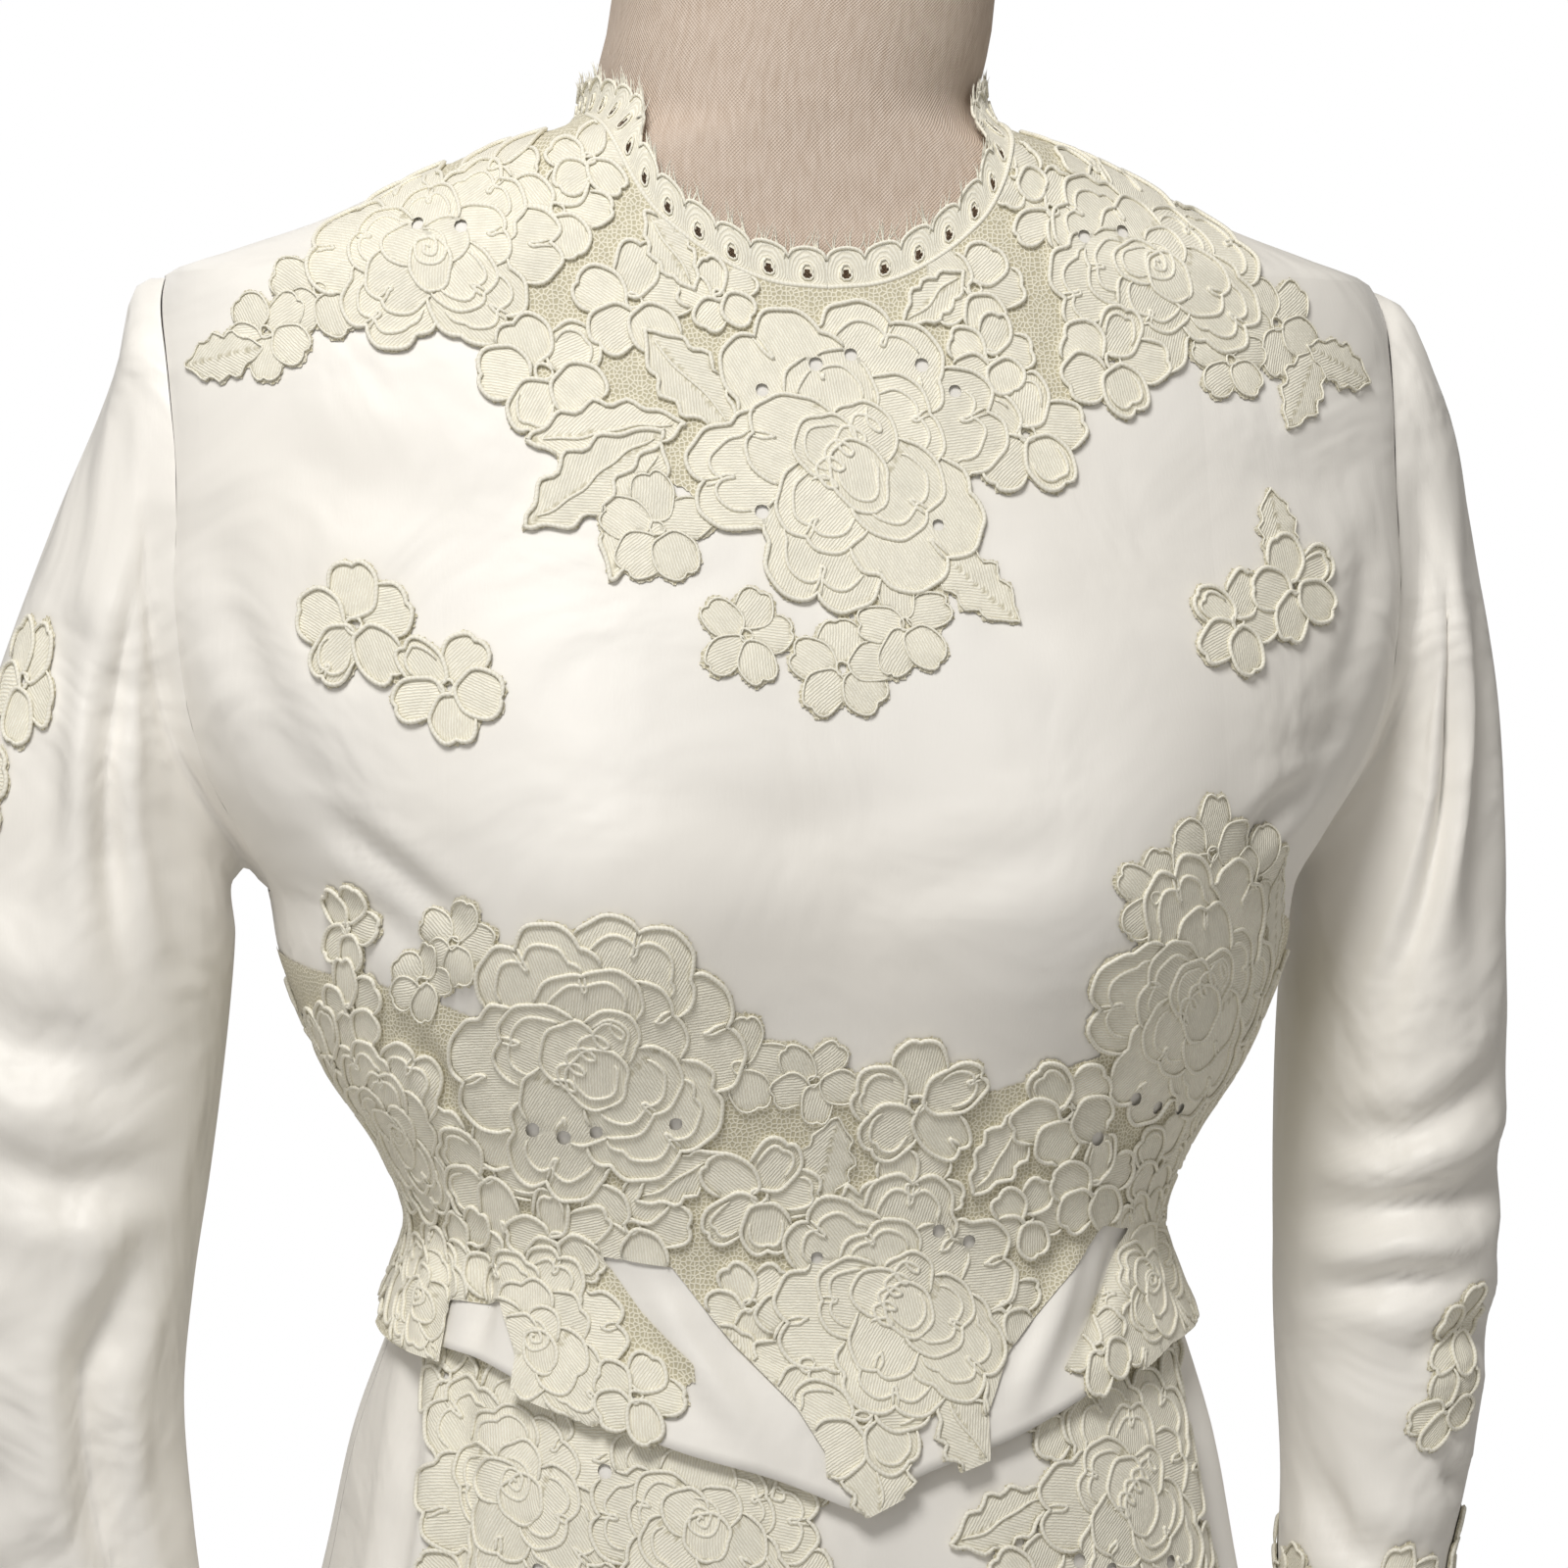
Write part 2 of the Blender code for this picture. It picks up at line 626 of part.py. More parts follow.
def motif_outline(motif):
    """Outline of one motif on the plan: a leaf pointed at both ends, or a flower with notches."""
    if motif.kind == "leaf":
        share = np.linspace(-1, 1, 5)
        width = 1 - share**2
        unturned = [(s, w) for s, w in zip(share, width)] + [(s, -w) for s, w in zip(share, width)][-2:0:-1]
        unturned = np.array(unturned) * (motif.across, motif.up)
        spin = math.radians(motif.turn)
        turned = np.array([[math.cos(spin), math.sin(spin)], [-math.sin(spin), math.cos(spin)]])
        return unturned @ turned + (motif.along, motif.height)
    lobes = LOBES[motif.kind]
    corner = np.arange(3 * lobes)
    reach = np.where(corner % 3 == 0, 1 - LOBE_NOTCH, 1)
    turn = corner * math.tau / (3 * lobes) + math.radians(motif.turn)
    flower = np.stack([motif.across * reach * np.cos(turn), motif.up * reach * np.sin(turn)], axis=1)
    return flower + (motif.along, motif.height)


def eyelet_outline(eyelet):
    """Small round hole as a polygon."""
    turn = np.arange(EYELET_SIDES) * math.tau / EYELET_SIDES
    ring = eyelet.radius * np.stack([np.cos(turn), np.sin(turn)], axis=1)
    return ring + (eyelet.along, eyelet.height)


def inside(points, outline):
    """Which points lie inside an outline, by counting the sides crossed to their right."""
    start = outline
    end = np.roll(outline, -1, axis=0)
    level = points[:, None, 1]
    spans = (start[:, 1] > level) != (end[:, 1] > level)
    rise = np.where(end[:, 1] == start[:, 1], 1, end[:, 1] - start[:, 1])
    crossing = start[:, 0] + (level - start[:, 1]) / rise * (end[:, 0] - start[:, 0])
    return (spans & (points[:, None, 0] < crossing)).sum(axis=1) % 2 == 1


def in_lace(points, filled, empty):
    """Which points lie in any filled outline and in no empty one."""
    kept = np.zeros(len(points), bool)
    for outline in filled:
        kept |= inside(points, outline)
    for outline in empty:
        kept &= ~inside(points, outline)
    return kept


def triangulate(points, edges, faces):
    """Flat triangulation through the given edges and faces; also which faces hold each triangle."""
    vectors = [Vector(point) for point in points]
    made = delaunay_2d_cdt(vectors, edges, faces, 0, PLAN_TOLERANCE)
    flat = np.array([tuple(point) for point in made[0]])
    return flat, np.array(made[2]), made[5]


def lace_border(filled, empty):
    """Points and edges round the union of the filled outlines less the empty ones."""
    outlines = filled + empty
    starts = np.cumsum([0] + [len(outline) for outline in outlines])
    faces = [list(range(first, last)) for first, last in zip(starts[:-1], starts[1:])]
    flat, triangles, _ = triangulate(np.concatenate(outlines), [], faces)
    kept = triangles[in_lace(flat[triangles].mean(axis=1), filled, empty)]
    edges = edge_loops(kept)
    used, packed = np.unique(edges, return_inverse=True)
    return flat[used], packed.reshape(-1, 2)


def one_patch(triangles):
    """The largest patch of triangles joined by edges, with no two fans meeting at one corner only."""
    for _ in range(6):
        triangles = largest_group(triangles)
        edges = edge_loops(triangles)
        corner, count = np.unique(edges[:, 0], return_counts=True)
        pinched = corner[count > 1]
        if not len(pinched):
            return triangles
        for point in pinched:
            fan = np.flatnonzero((triangles == point).any(axis=1))
            keep = largest_group(triangles[fan])
            known = {tuple(triangle) for triangle in keep.tolist()}
            drop = [at for at in fan if tuple(triangles[at].tolist()) not in known]
            triangles = np.delete(triangles, drop, axis=0)
    return triangles


def largest_group(triangles):
    """The largest group of triangles that share edges."""
    groups = np.arange(len(triangles))
    corners = [[0, 1], [1, 2], [2, 0]]
    edges = np.sort(np.concatenate([triangles[:, pair] for pair in corners]), axis=1)
    owner = np.tile(np.arange(len(triangles)), 3)
    _, edge = np.unique(edges, axis=0, return_inverse=True)
    edge = edge.reshape(-1)
    changed = True
    while changed:
        lowest = np.full(edge.max() + 1, len(triangles))
        np.minimum.at(lowest, edge, groups[owner])
        merged = groups.copy()
        np.minimum.at(merged, owner, lowest[edge])
        changed = bool((merged != groups).any())
        groups = merged
    names, sizes = np.unique(groups, return_counts=True)
    return triangles[groups == names[sizes.argmax()]]


def lace_sheet(panel, piece):
    """Lace cut to a piece's outline on a panel, each triangle lying on one triangle of the panel."""
    filled = [motif_outline(motif) for motif in piece.motifs]
    if piece.ground:
        filled.append(np.array(piece.ground, float))
    empty = [np.array(outline, float) for outline in piece.bare]
    empty += [eyelet_outline(eyelet) for eyelet in piece.eyelets]
    border, edges = lace_border(filled, empty)
    low = border.min(axis=0)
    high = border.max(axis=0)
    corners = panel.plan[panel.triangles]
    near = ((corners.max(axis=1) > low) & (corners.min(axis=1) < high)).all(axis=1)
    across = corners[:, 1] - corners[:, 0]
    along = corners[:, 2] - corners[:, 0]
    unbroken = across[:, 0] * along[:, 1] > across[:, 1] * along[:, 0]
    faces = panel.triangles[near & unbroken]
    count = len(border)
    points = np.concatenate([border, panel.plan])
    flat, triangles, held = triangulate(points, edges.tolist(), (faces + count).tolist())
    kept = in_lace(flat[triangles].mean(axis=1), filled, empty)
    kept &= np.array([len(faces_held) > 0 for faces_held in held])
    triangles_kept = one_patch(triangles[kept])
    face_of = {tuple(tri.tolist()): held[at][0] for at, tri in enumerate(triangles) if kept[at]}
    points = np.zeros((len(flat), 3))
    normals = np.zeros((len(flat), 3))
    for triangle in triangles_kept.tolist():
        corner = faces[face_of[tuple(triangle)]]
        base = np.concatenate([panel.plan[corner].T, np.ones((1, 3))])
        share = np.linalg.solve(base, np.concatenate([flat[triangle].T, np.ones((1, 3))])).T
        points[triangle] = share @ panel.points[corner]
        normals[triangle] = share @ panel.normals[corner]
    return Sheet(points, unit(normals), flat, triangles_kept)


def make_lace(name, sheet):
    """Lace lying just off the panel that it was cut on."""
    thicken(name, lace(), sheet, LACE_GAP, LACE_GAP + LACE_WALL)


def armhole_heights():
    """Heights of the panel rows that end on the armhole, from underarm to shoulder."""
    turn = np.linspace(math.pi, 0, ARMHOLE_STEPS + 1)
    middle = (SHOULDER_HEIGHT + UNDERARM_HEIGHT) / 2
    half = (SHOULDER_HEIGHT - UNDERARM_HEIGHT) / 2
    return middle + half * np.cos(turn), np.sin(turn)


def basque_height(angle):
    """Height of the free lower edge at an angle."""
    return smooth(BASQUE, "height", np.abs(np.degrees(angle)), along="angle")


def bodice_half(behind):
    """Half of the front, or one back panel, from the centre to the side seam, armhole and shoulder."""
    sleeve_rows, openness = armhole_heights()
    depth = ARMHOLE_BACK_DEPTH if behind else ARMHOLE_FRONT_DEPTH
    lower_rows = np.array([1098.0, 1122.0, 1145.0, 1165.0])
    neck_rows = column(NECK, "height")[1:]
    heights = np.concatenate([lower_rows, sleeve_rows, neck_rows])
    half_width = smooth(BODY, "half_width", heights)
    seam = SEAM_GAP / 2 / half_width
    outer = (np.pi / 2 + seam) if behind else (np.pi / 2 - seam)
    first = len(lower_rows)
    for row in range(1, ARMHOLE_STEPS):
        height = heights[first + row]
        outer[first + row] = angle_at_depth(BODY, depth * openness[row], height, behind)
    opening = column(NECK, "back" if behind else "front")
    inner_x = np.zeros(len(heights))
    inner_x[-len(NECK) :] = opening
    inner = angle_at_x(BODY, inner_x, heights, behind)
    if behind:
        centre_gap = SEAM_GAP / 2 / np.abs(smooth(BODY, "back", heights))
        inner = np.minimum(inner, np.pi - centre_gap)
    share = np.linspace(0, 1, BODICE_COLUMNS + 1)
    angle = inner[:, None] + (outer - inner)[:, None] * share
    height = heights[:, None] + 0 * angle
    edge_angle = angle[0]
    rise = np.array([[0], [0.33], [0.67]])
    basque = basque_height(edge_angle) * (1 - rise) + lower_rows[0] * rise
    angle = np.concatenate([edge_angle + 0 * rise, angle])
    height = np.concatenate([basque, height])
    sheet = sheet_of(body_point, angle, height)
    if not behind:
        return sheet
    half_girth = distance_round(body_point, np.pi + 0 * height, height).reshape(-1)
    plan = sheet.plan - np.stack([half_girth, 0 * half_girth], axis=1)
    return Sheet(sheet.points, sheet.normals, plan, sheet.triangles[:, ::-1])


def skirt_grid(first, last, columns):
    """Skirt panel between two angles in degrees, half a seam gap short of each."""
    heights = np.array([HEM_HEIGHT, 170, 380, 590, 760, 870, 940, 990, 1025, 1050, 1073])
    pull = SEAM_GAP / 2 / smooth(SKIRT, "half_width", heights)
    start = math.radians(first) + pull
    end = math.radians(last) - pull
    angle = start[:, None] + (end - start)[:, None] * np.linspace(0, 1, columns + 1)
    return sheet_of(skirt_point, angle, heights[:, None] + 0 * angle)


def armhole_ring():
    """Points of the armhole seam on the +X side and their normals, from shoulder round the front."""
    turn = np.linspace(0, 2 * math.pi, 2 * ARMHOLE_STEPS, endpoint=False)
    middle = (SHOULDER_HEIGHT + UNDERARM_HEIGHT) / 2
    half = (SHOULDER_HEIGHT - UNDERARM_HEIGHT) / 2
    height = middle + half * np.cos(turn)
    front = angle_at_depth(BODY, ARMHOLE_FRONT_DEPTH * np.maximum(np.sin(turn), 0), height)
    back = angle_at_depth(BODY, ARMHOLE_BACK_DEPTH * np.maximum(-np.sin(turn), 0), height, True)
    angle = np.where(np.sin(turn) >= 0, front, back)
    points = body_point(angle, height)
    normals = outward(body_point, angle, height)
    tangent = np.roll(points, -1, axis=0) - np.roll(points, 1, axis=0)
    away = unit(np.cross(normals, tangent))
    away *= np.sign((away * (points - points.mean(axis=0))).sum(axis=1, keepdims=True)) * -1
    return points + ARMHOLE_GAP * away, normals


def ring_points(high, low, half_depth, turn):
    """Flat oval ring between its highest and lowest points."""
    level = (high + low) / 2 + (high - low) / 2 * np.cos(turn)[:, None]
    level[:, 1] -= half_depth * np.sin(turn)
    return level


def sleeve_grid(rings):
    """Points and normals of a +X sleeve, rings by points round the arm."""
    seam, seam_normals = armhole_ring()
    turn = np.linspace(0, 2 * math.pi, 2 * ARMHOLE_STEPS, endpoint=False)
    top = seam[0]
    bottom = seam[ARMHOLE_STEPS]
    depth = (seam[:, 1].max() - seam[:, 1].min()) / 2
    bulge = seam - ring_points(top, bottom, depth, turn)
    levels = [seam]
    for ring in rings:
        high = np.array([ring.outer_x, ring.mid_y, ring.outer_z])
        low = np.array([ring.inner_x, ring.mid_y, ring.inner_z])
        levels.append(ring_points(high, low, ring.half_depth, turn) + ring.bulge * bulge)
    points = np.array(levels)
    down = np.gradient(points, axis=0)
    around = np.roll(points, -1, axis=1) - np.roll(points, 1, axis=1)
    normals = unit(np.cross(around, down))
    normals[0] = seam_normals
    return points, normals


def sleeve_sheet(rings):
    """Sleeve as a closed tube, planned from its outermost line towards the back."""
    points, normals = sleeve_grid(rings)
    steps = np.linalg.norm(np.roll(points, -1, axis=1) - points, axis=2)
    round_arm = np.cumsum(steps, axis=1) - steps
    girth = steps.sum(axis=1, keepdims=True)
    round_arm = np.where(round_arm > girth / 2, round_arm - girth, round_arm)
    centres = points.mean(axis=1)
    fall = np.linalg.norm(np.diff(centres, axis=0), axis=1)
    down = np.concatenate([[0], np.cumsum(fall)])[:, None] + 0 * round_arm
    plan = np.stack([-round_arm, -down], axis=-1)
    triangles = grid_triangles(*points.shape[:2], closed=True)
    return Sheet(points.reshape(-1, 3), normals.reshape(-1, 3), plan.reshape(-1, 2), triangles)


def make_bodice():
    right = bodice_half(False)
    front = joined(right, mirrored(right))
    thicken("bodice_front", satin(), front, -SATIN_WALL, 0)
    back = bodice_half(True)
    thicken("bodice_back_right", satin(), back, -SATIN_WALL, 0)
    thicken("bodice_back_left", satin(), mirrored(back), -SATIN_WALL, 0)
    return front, back


def make_sleeves():
    right = sleeve_sheet(RIGHT_SLEEVE)
    left = mirrored(sleeve_sheet(LEFT_SLEEVE))
    thicken("sleeve_right", satin(), right, -SATIN_WALL, 0)
    thicken("sleeve_left", satin(), left, -SATIN_WALL, 0)
    return right, left


def make_skirt():
    front = skirt_grid(-90, 90, SKIRT_FRONT_COLUMNS)
    thicken("skirt_front", satin(), front, -SATIN_WALL, 0)
    thicken("skirt_back_right", satin(), skirt_grid(90, 180, SKIRT_BACK_COLUMNS), -SATIN_WALL, 0)
    thicken("skirt_back_left", satin(), skirt_grid(-180, -90, SKIRT_BACK_COLUMNS), -SATIN_WALL, 0)
    return front


def make_form():
    """Torso and neck as one closed solid, then cap, collar, pole and base."""
    upper = [WAIST_HEIGHT, 1105, 1145, 1183, 1200, 1230, 1270, 1310, 1350]
    upper += column(NECK, "height").tolist() + [1437, 1452, FORM_TOP]
    heights = np.array([800, 812, 860, 940, 1020] + upper, float)
    turn = np.linspace(-math.pi, math.pi, FORM_SIDES, endpoint=False)
    angle = turn + 0 * heights[:, None]
    points = form_point(angle, heights[:, None] + 0 * angle)
    faces = grid_triangles(len(heights), FORM_SIDES, closed=True).tolist()
    faces.append(list(range(FORM_SIDES))[::-1])
    faces.append([(len(heights) - 1) * FORM_SIDES + at for at in range(FORM_SIDES)])
    place_mesh("form_torso", linen(), points.reshape(-1, 3), faces)
    middle = points[-1].mean(axis=0)
    lathe("form_cap", wood(), middle[:2], cap_profile(), FORM_SIDES)
    torso_bottom = heights[0] - SEAM_GAP
    collar_bottom = torso_bottom - COLLAR_THICKNESS
    collar = disc_profile(COLLAR_RADIUS, collar_bottom, torso_bottom, 2.0)
    lathe("form_collar", iron(), (0, 0), collar, 24)
    pole = disc_profile(POLE_RADIUS, BASE_THICKNESS + SEAM_GAP, collar_bottom - SEAM_GAP, 0.5)
    lathe("form_pole", iron(), (0, 0), pole, 20)
    lathe("form_base", iron(), (0, 0), disc_profile(BASE_RADIUS, 0, BASE_THICKNESS, 3.0), 44)


def disc_profile(radius, bottom, top, chamfer):
    """Half outline of a turned disc with a chamfered upper rim."""
    return ((0, bottom), (radius, bottom), (radius, top - chamfer), (radius - chamfer, top), (0, top))


def cap_profile():
    """Half outline of the neck cap, slightly domed."""
    bottom = FORM_TOP + SEAM_GAP
    top = bottom + CAP_THICKNESS
    rim = (CAP_RADIUS, bottom), (CAP_RADIUS + 1, bottom + 3), (CAP_RADIUS - 1, top - 1)
    return ((0, bottom), *rim, (CAP_RADIUS - 6, top), (0, top + 1.5))


def lathe(name, material, centre, profile, sides):
    """Solid turned about an upright axis from a half outline that starts and ends on it."""
    shape = bmesh.new()
    corners = [shape.verts.new(Vector((radius, 0, height))) for radius, height in profile]
    edges = [shape.edges.new(pair) for pair in zip(corners[:-1], corners[1:])]
    turned = {"angle": math.tau, "steps": sides, "cent": (0, 0, 0), "axis": (0, 0, 1)}
    bmesh.ops.spin(shape, geom=corners + edges, use_merge=True, **turned)
    bmesh.ops.remove_doubles(shape, verts=shape.verts, dist=0.01)
    bmesh.ops.recalc_face_normals(shape, faces=shape.faces)
    bmesh.ops.scale(shape, verts=shape.verts, vec=(METRES_PER_MM,) * 3)
    thing = place_shape(name, material, shape)
    thing.location = (centre[0] * METRES_PER_MM, centre[1] * METRES_PER_MM, 0)
    return thing


def neck_line(count):
    """Angles, heights and points of places spaced evenly round the neck edge; also its length."""
    heights = column(NECK, "height")
    front = angle_at_x(BODY, column(NECK, "front"), heights)
    opening = column(NECK, "back")
    last_closed = np.flatnonzero(opening == 0)[-1]
    behind = slice(last_closed, None)
    back = angle_at_x(BODY, opening[behind], heights[behind], True)
    low_front = armhole_heights()[0][-2]
    angle = np.concatenate([[0], front, back[::-1]])
    height = np.concatenate([[low_front], heights, heights[behind][::-1]])
    path = body_point(angle, height)
    length = np.concatenate([[0], np.cumsum(np.linalg.norm(np.diff(path, axis=0), axis=1))])
    place = np.arange(count) * 2 * length[-1] / count
    side = np.where(place > length[-1], 2 * length[-1] - place, place)
    sign = np.where(place > length[-1], -1, 1)
    edge = np.stack([np.interp(side, length, path[:, axis]) for axis in range(3)], axis=1)
    edge[:, 0] *= sign
    return sign * np.interp(side, length, angle), np.interp(side, length, height), edge, 2 * length[-1]


def make_neck_band():
    """Scalloped edging that stands up from the satin neck edge."""
    count = 2 * SCALLOPS
    angle, height, edge, _ = neck_line(count)
    dip = np.where(np.arange(count) % 2 == 0, SCALLOP_DIP, 0)
    heights = np.stack([height, height + BAND_GAP + BAND_HEIGHT - dip])
    angles = np.stack([angle, angle])
    points = body_point(angles, heights)
    points[0] = edge + BAND_GAP * unit(points[1] - edge)
    normals = outward(body_point, angles, heights)
    triangles = grid_triangles(2, count, closed=True)
    plan = np.zeros((2 * count, 2))
    sheet = Sheet(points.reshape(-1, 3), normals.reshape(-1, 3), plan, triangles)
    thicken("lace_neck_band", lace(), sheet, -LACE_WALL, 0)


def make_neck_lashes():
    """Eyelash fringe: a narrow strip above the band, with tapered strands grown from it."""
    fine = 40 * LASHES
    angle, height, _, girth = neck_line(fine)
    height = height + BAND_GAP + BAND_HEIGHT + SEAM_GAP
    half_root = LASH_ROOT / 2 / girth * fine
    centre = (np.arange(LASHES) + 0.5) * fine / LASHES
    places = np.stack([centre - half_root, centre + half_root], axis=1).reshape(-1)
    at = places.round().astype(int) % fine
    angle_at, height_at = angle[at], height[at]
    top = height_at + LASH_STRIP
    normal = outward(body_point, angle_at, top)
    face = body_point(angle_at, top)
    outer = face - 0.1 * normal
    inner = face - (0.1 + LASH_ROOT) * normal
    bottom = body_point(angle_at, height_at) - 0.6 * normal
    generator = np.random.default_rng(LASH_SEED)
    length = LASH_LENGTH * generator.uniform(0.6, 1.0, LASHES)
    lean = generator.uniform(-0.25, 0.25, LASHES)
    points = [outer, inner, bottom]
    count = 2 * LASHES
    roots = (outer + inner).reshape(LASHES, 2, 3).mean(axis=1) / 2
    side = unit((outer[1::2] - outer[0::2]))
    tips = roots + length[:, None] * (np.array([0, 0, 1]) + lean[:, None] * side)
    points.append(tips)
    faces = []
    for first in range(count):
        second = (first + 1) % count
        outer_a, outer_b = first, second
        inner_a, inner_b = count + first, count + second
        low_a, low_b = 2 * count + first, 2 * count + second
        faces.append((low_a, low_b, outer_b, outer_a))
        faces.append((low_b, low_a, inner_a, inner_b))
        ring = (outer_a, outer_b, inner_b, inner_a)
        if first % 2:
            faces.append(ring)
        else:
            tip = 3 * count + first // 2
            faces += [(ring[at], ring[(at + 1) % 4], tip) for at in range(4)]
    place_mesh("lace_neck_lashes", lace(), np.concatenate(points), faces)


def make_cuff(name, rings, flip):
    """Lace over the lower sleeve, its upper edge pointed, a little above one of the rings."""
    points, normals = sleeve_grid(rings)
    count = points.shape[1]
    share = np.where(np.arange(count) % 2 == 0, CUFF_PEAK, CUFF_DIP)[:, None]
    above, edge = CUFF_RING, CUFF_RING + 1
    first = points[edge] + share * (points[above] - points[edge])
    first_normals = unit(normals[edge] + share * (normals[above] - normals[edge]))
    points = np.concatenate([first[None], points[edge:]])
    normals = np.concatenate([first_normals[None], normals[edge:]])
    triangles = grid_triangles(*points.shape[:2], closed=True)
    plan = np.zeros((points.shape[0] * count, 2))
    sheet = Sheet(points.reshape(-1, 3), normals.reshape(-1, 3), plan, triangles)
    if flip:
        sheet = mirrored(sheet)
    thicken(name, lace(), sheet, CUFF_GAP, CUFF_GAP + LACE_WALL)


def make_buttons():
    """Covered buttons on the centre-back closing."""
    domed = ((0, 0), (BUTTON_RADIUS - 0.6, 0), (BUTTON_RADIUS, 1.6), (3.2, 3.6), (0, BUTTON_HEIGHT))
    for number in range(BUTTONS):
        height = np.array(BUTTON_TOP - number * BUTTON_PITCH)
        angle = np.array(math.pi)
        normal = outward(body_point, angle, height)
        lift = LACE_GAP + (LACE_WALL + LACE_GAP if height < BUTTON_LACE_TOP else 0)
        seat = body_point(angle, height) + lift * normal
        button = lathe(f"button_{number + 1:02d}", satin(), (0, 0), domed, BUTTON_SIDES)
        button.location = Vector(seat) * METRES_PER_MM
        button.rotation_mode = "QUATERNION"
        button.rotation_quaternion = Vector(normal).to_track_quat("Z", "Y")


def clear_scene():
    for thing in list(bpy.data.objects):
        bpy.data.objects.remove(thing, do_unlink=True)


def main():
    clear_scene()
    make_form()
    front, back = make_bodice()
    sleeve_right, sleeve_left = make_sleeves()
    skirt = make_skirt()
    girdle_back = lace_sheet(back, GIRDLE_BACK)
    make_lace("lace_yoke", lace_sheet(front, YOKE))
    make_lace("lace_girdle", lace_sheet(front, GIRDLE))
    make_lace("lace_girdle_back_right", girdle_back)
    make_lace("lace_girdle_back_left", mirrored(girdle_back))
    make_lace("lace_sprig_left", lace_sheet(front, SPRIG_LEFT))
    make_lace("lace_sprig_right", lace_sheet(front, SPRIG_RIGHT))
    make_lace("lace_skirt_left", lace_sheet(skirt, SKIRT_LEFT))
    make_lace("lace_skirt_right", lace_sheet(skirt, SKIRT_RIGHT))
    make_lace("lace_sleeve_right", lace_sheet(sleeve_right, SLEEVE_SPRIG_RIGHT))
    make_lace("lace_sleeve_left", lace_sheet(sleeve_left, SLEEVE_SPRIG_LEFT))
    make_cuff("lace_cuff_right", RIGHT_SLEEVE, False)
    make_cuff("lace_cuff_left", LEFT_SLEEVE, True)
    make_neck_band()
    make_neck_lashes()
    make_buttons()


main()
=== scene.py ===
# Ivory satin wedding dress with corded lace, on a linen-covered dress form with a turned cap and an iron
# stand. Lengths are millimetres until a mesh is made. The dress faces -Y, +X is on the viewer's right.
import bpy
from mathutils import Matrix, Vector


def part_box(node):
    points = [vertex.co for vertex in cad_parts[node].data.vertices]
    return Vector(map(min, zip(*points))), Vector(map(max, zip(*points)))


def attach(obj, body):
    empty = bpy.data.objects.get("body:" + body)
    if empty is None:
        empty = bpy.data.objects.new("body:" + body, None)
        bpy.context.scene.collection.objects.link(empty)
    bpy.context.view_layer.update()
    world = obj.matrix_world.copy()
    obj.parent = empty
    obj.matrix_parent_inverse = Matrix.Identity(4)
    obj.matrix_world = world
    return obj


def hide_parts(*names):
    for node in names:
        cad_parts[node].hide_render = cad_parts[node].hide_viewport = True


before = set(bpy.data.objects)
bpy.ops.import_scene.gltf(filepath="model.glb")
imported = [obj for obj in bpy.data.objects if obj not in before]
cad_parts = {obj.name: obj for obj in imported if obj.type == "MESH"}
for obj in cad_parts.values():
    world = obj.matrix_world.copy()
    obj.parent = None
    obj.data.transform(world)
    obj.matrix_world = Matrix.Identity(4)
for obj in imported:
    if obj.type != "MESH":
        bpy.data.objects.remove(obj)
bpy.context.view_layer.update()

import math

import bpy
import numpy as np
from mathutils import Vector

toMetres = 0.001
satinWall = 1.3
seamGap = 0.3
fullTurn = 2 * math.pi
cutPower = 2.3  # roundness of a level cut: 2 is an ellipse, more is squarer

# The garment's levels, the same as the solids have
bodyCuts = np.array([  # height, half width, front, back, side line
    (960, 156, -129, 121, 0), (1000, 147.5, -121.5, 113, 0), (1035, 137.5, -112, 104, 0),
    (1055, 129, -105, 97, 0), (1075, 123, -102, 93, 0), (1098, 131, -105, 95, 0),
    (1128, 150, -112, 99, 1), (1146, 158, -116, 102, 2), (1165, 165, -119, 105, 3),
    (1183, 168, -120, 108, 4), (1200, 179, -119, 110, 6), (1225, 196, -116, 112, 8),
    (1255, 207, -111, 111, 9), (1290, 212, -101, 108, 10), (1330, 211, -89, 101, 11),
    (1360, 207, -80, 93, 12), (1380, 199, -75, 88, 12), (1388, 178, -73, 86, 12),
    (1397, 152, -70.5, 84, 12), (1408, 128, -68.5, 82, 11), (1419, 101, -67, 79.5, 10),
    (1430, 69, -66.5, 77, 8), (1436, 66, -66, 74.5, 7), (1450, 64.5, -65.5, 70, 4),
    (1480, 63.5, -65, 64, 0), (1520, 63, -66, 60, -3),
], float)
skirtCuts = np.array([
    (14, 350, -300, 372, 20), (200, 313, -266, 325, 17), (400, 274, -231, 273, 13),
    (600, 233, -196, 220, 8), (750, 202, -169, 181, 4), (860, 175.5, -147, 149, 2),
    (930, 157, -131, 129, 0), (965, 149, -123, 119, 0), (1003, 141.5, -115, 109, 0),
    (1035, 131, -106, 99, 0), (1055, 124, -100.5, 93, 0), (1075, 119.5, -98.5, 89.5, 0),
], float)
hipCuts = np.array([
    (800, 128, -98, 98, 0), (812, 138, -107, 106, 0), (860, 143, -113, 111, 0), (920, 141, -113, 110, 0),
    (980, 133, -108, 103, 0), (1035, 120, -97.5, 90, 0), (1075, 115, -94, 85, 0),
], float)
neckCuts = np.array([  # height, half opening in front, behind
    (1372.5, 0, 0), (1373.5, 13, 0), (1375.5, 21, 0), (1380, 31, 0), (1388, 43, 0), (1397, 52.5, 0),
    (1408, 59, 0), (1414, 61.5, 0), (1418, 63, 20), (1422, 64.5, 37), (1426, 65.5, 53), (1430, 66.5, 66.5),
], float)
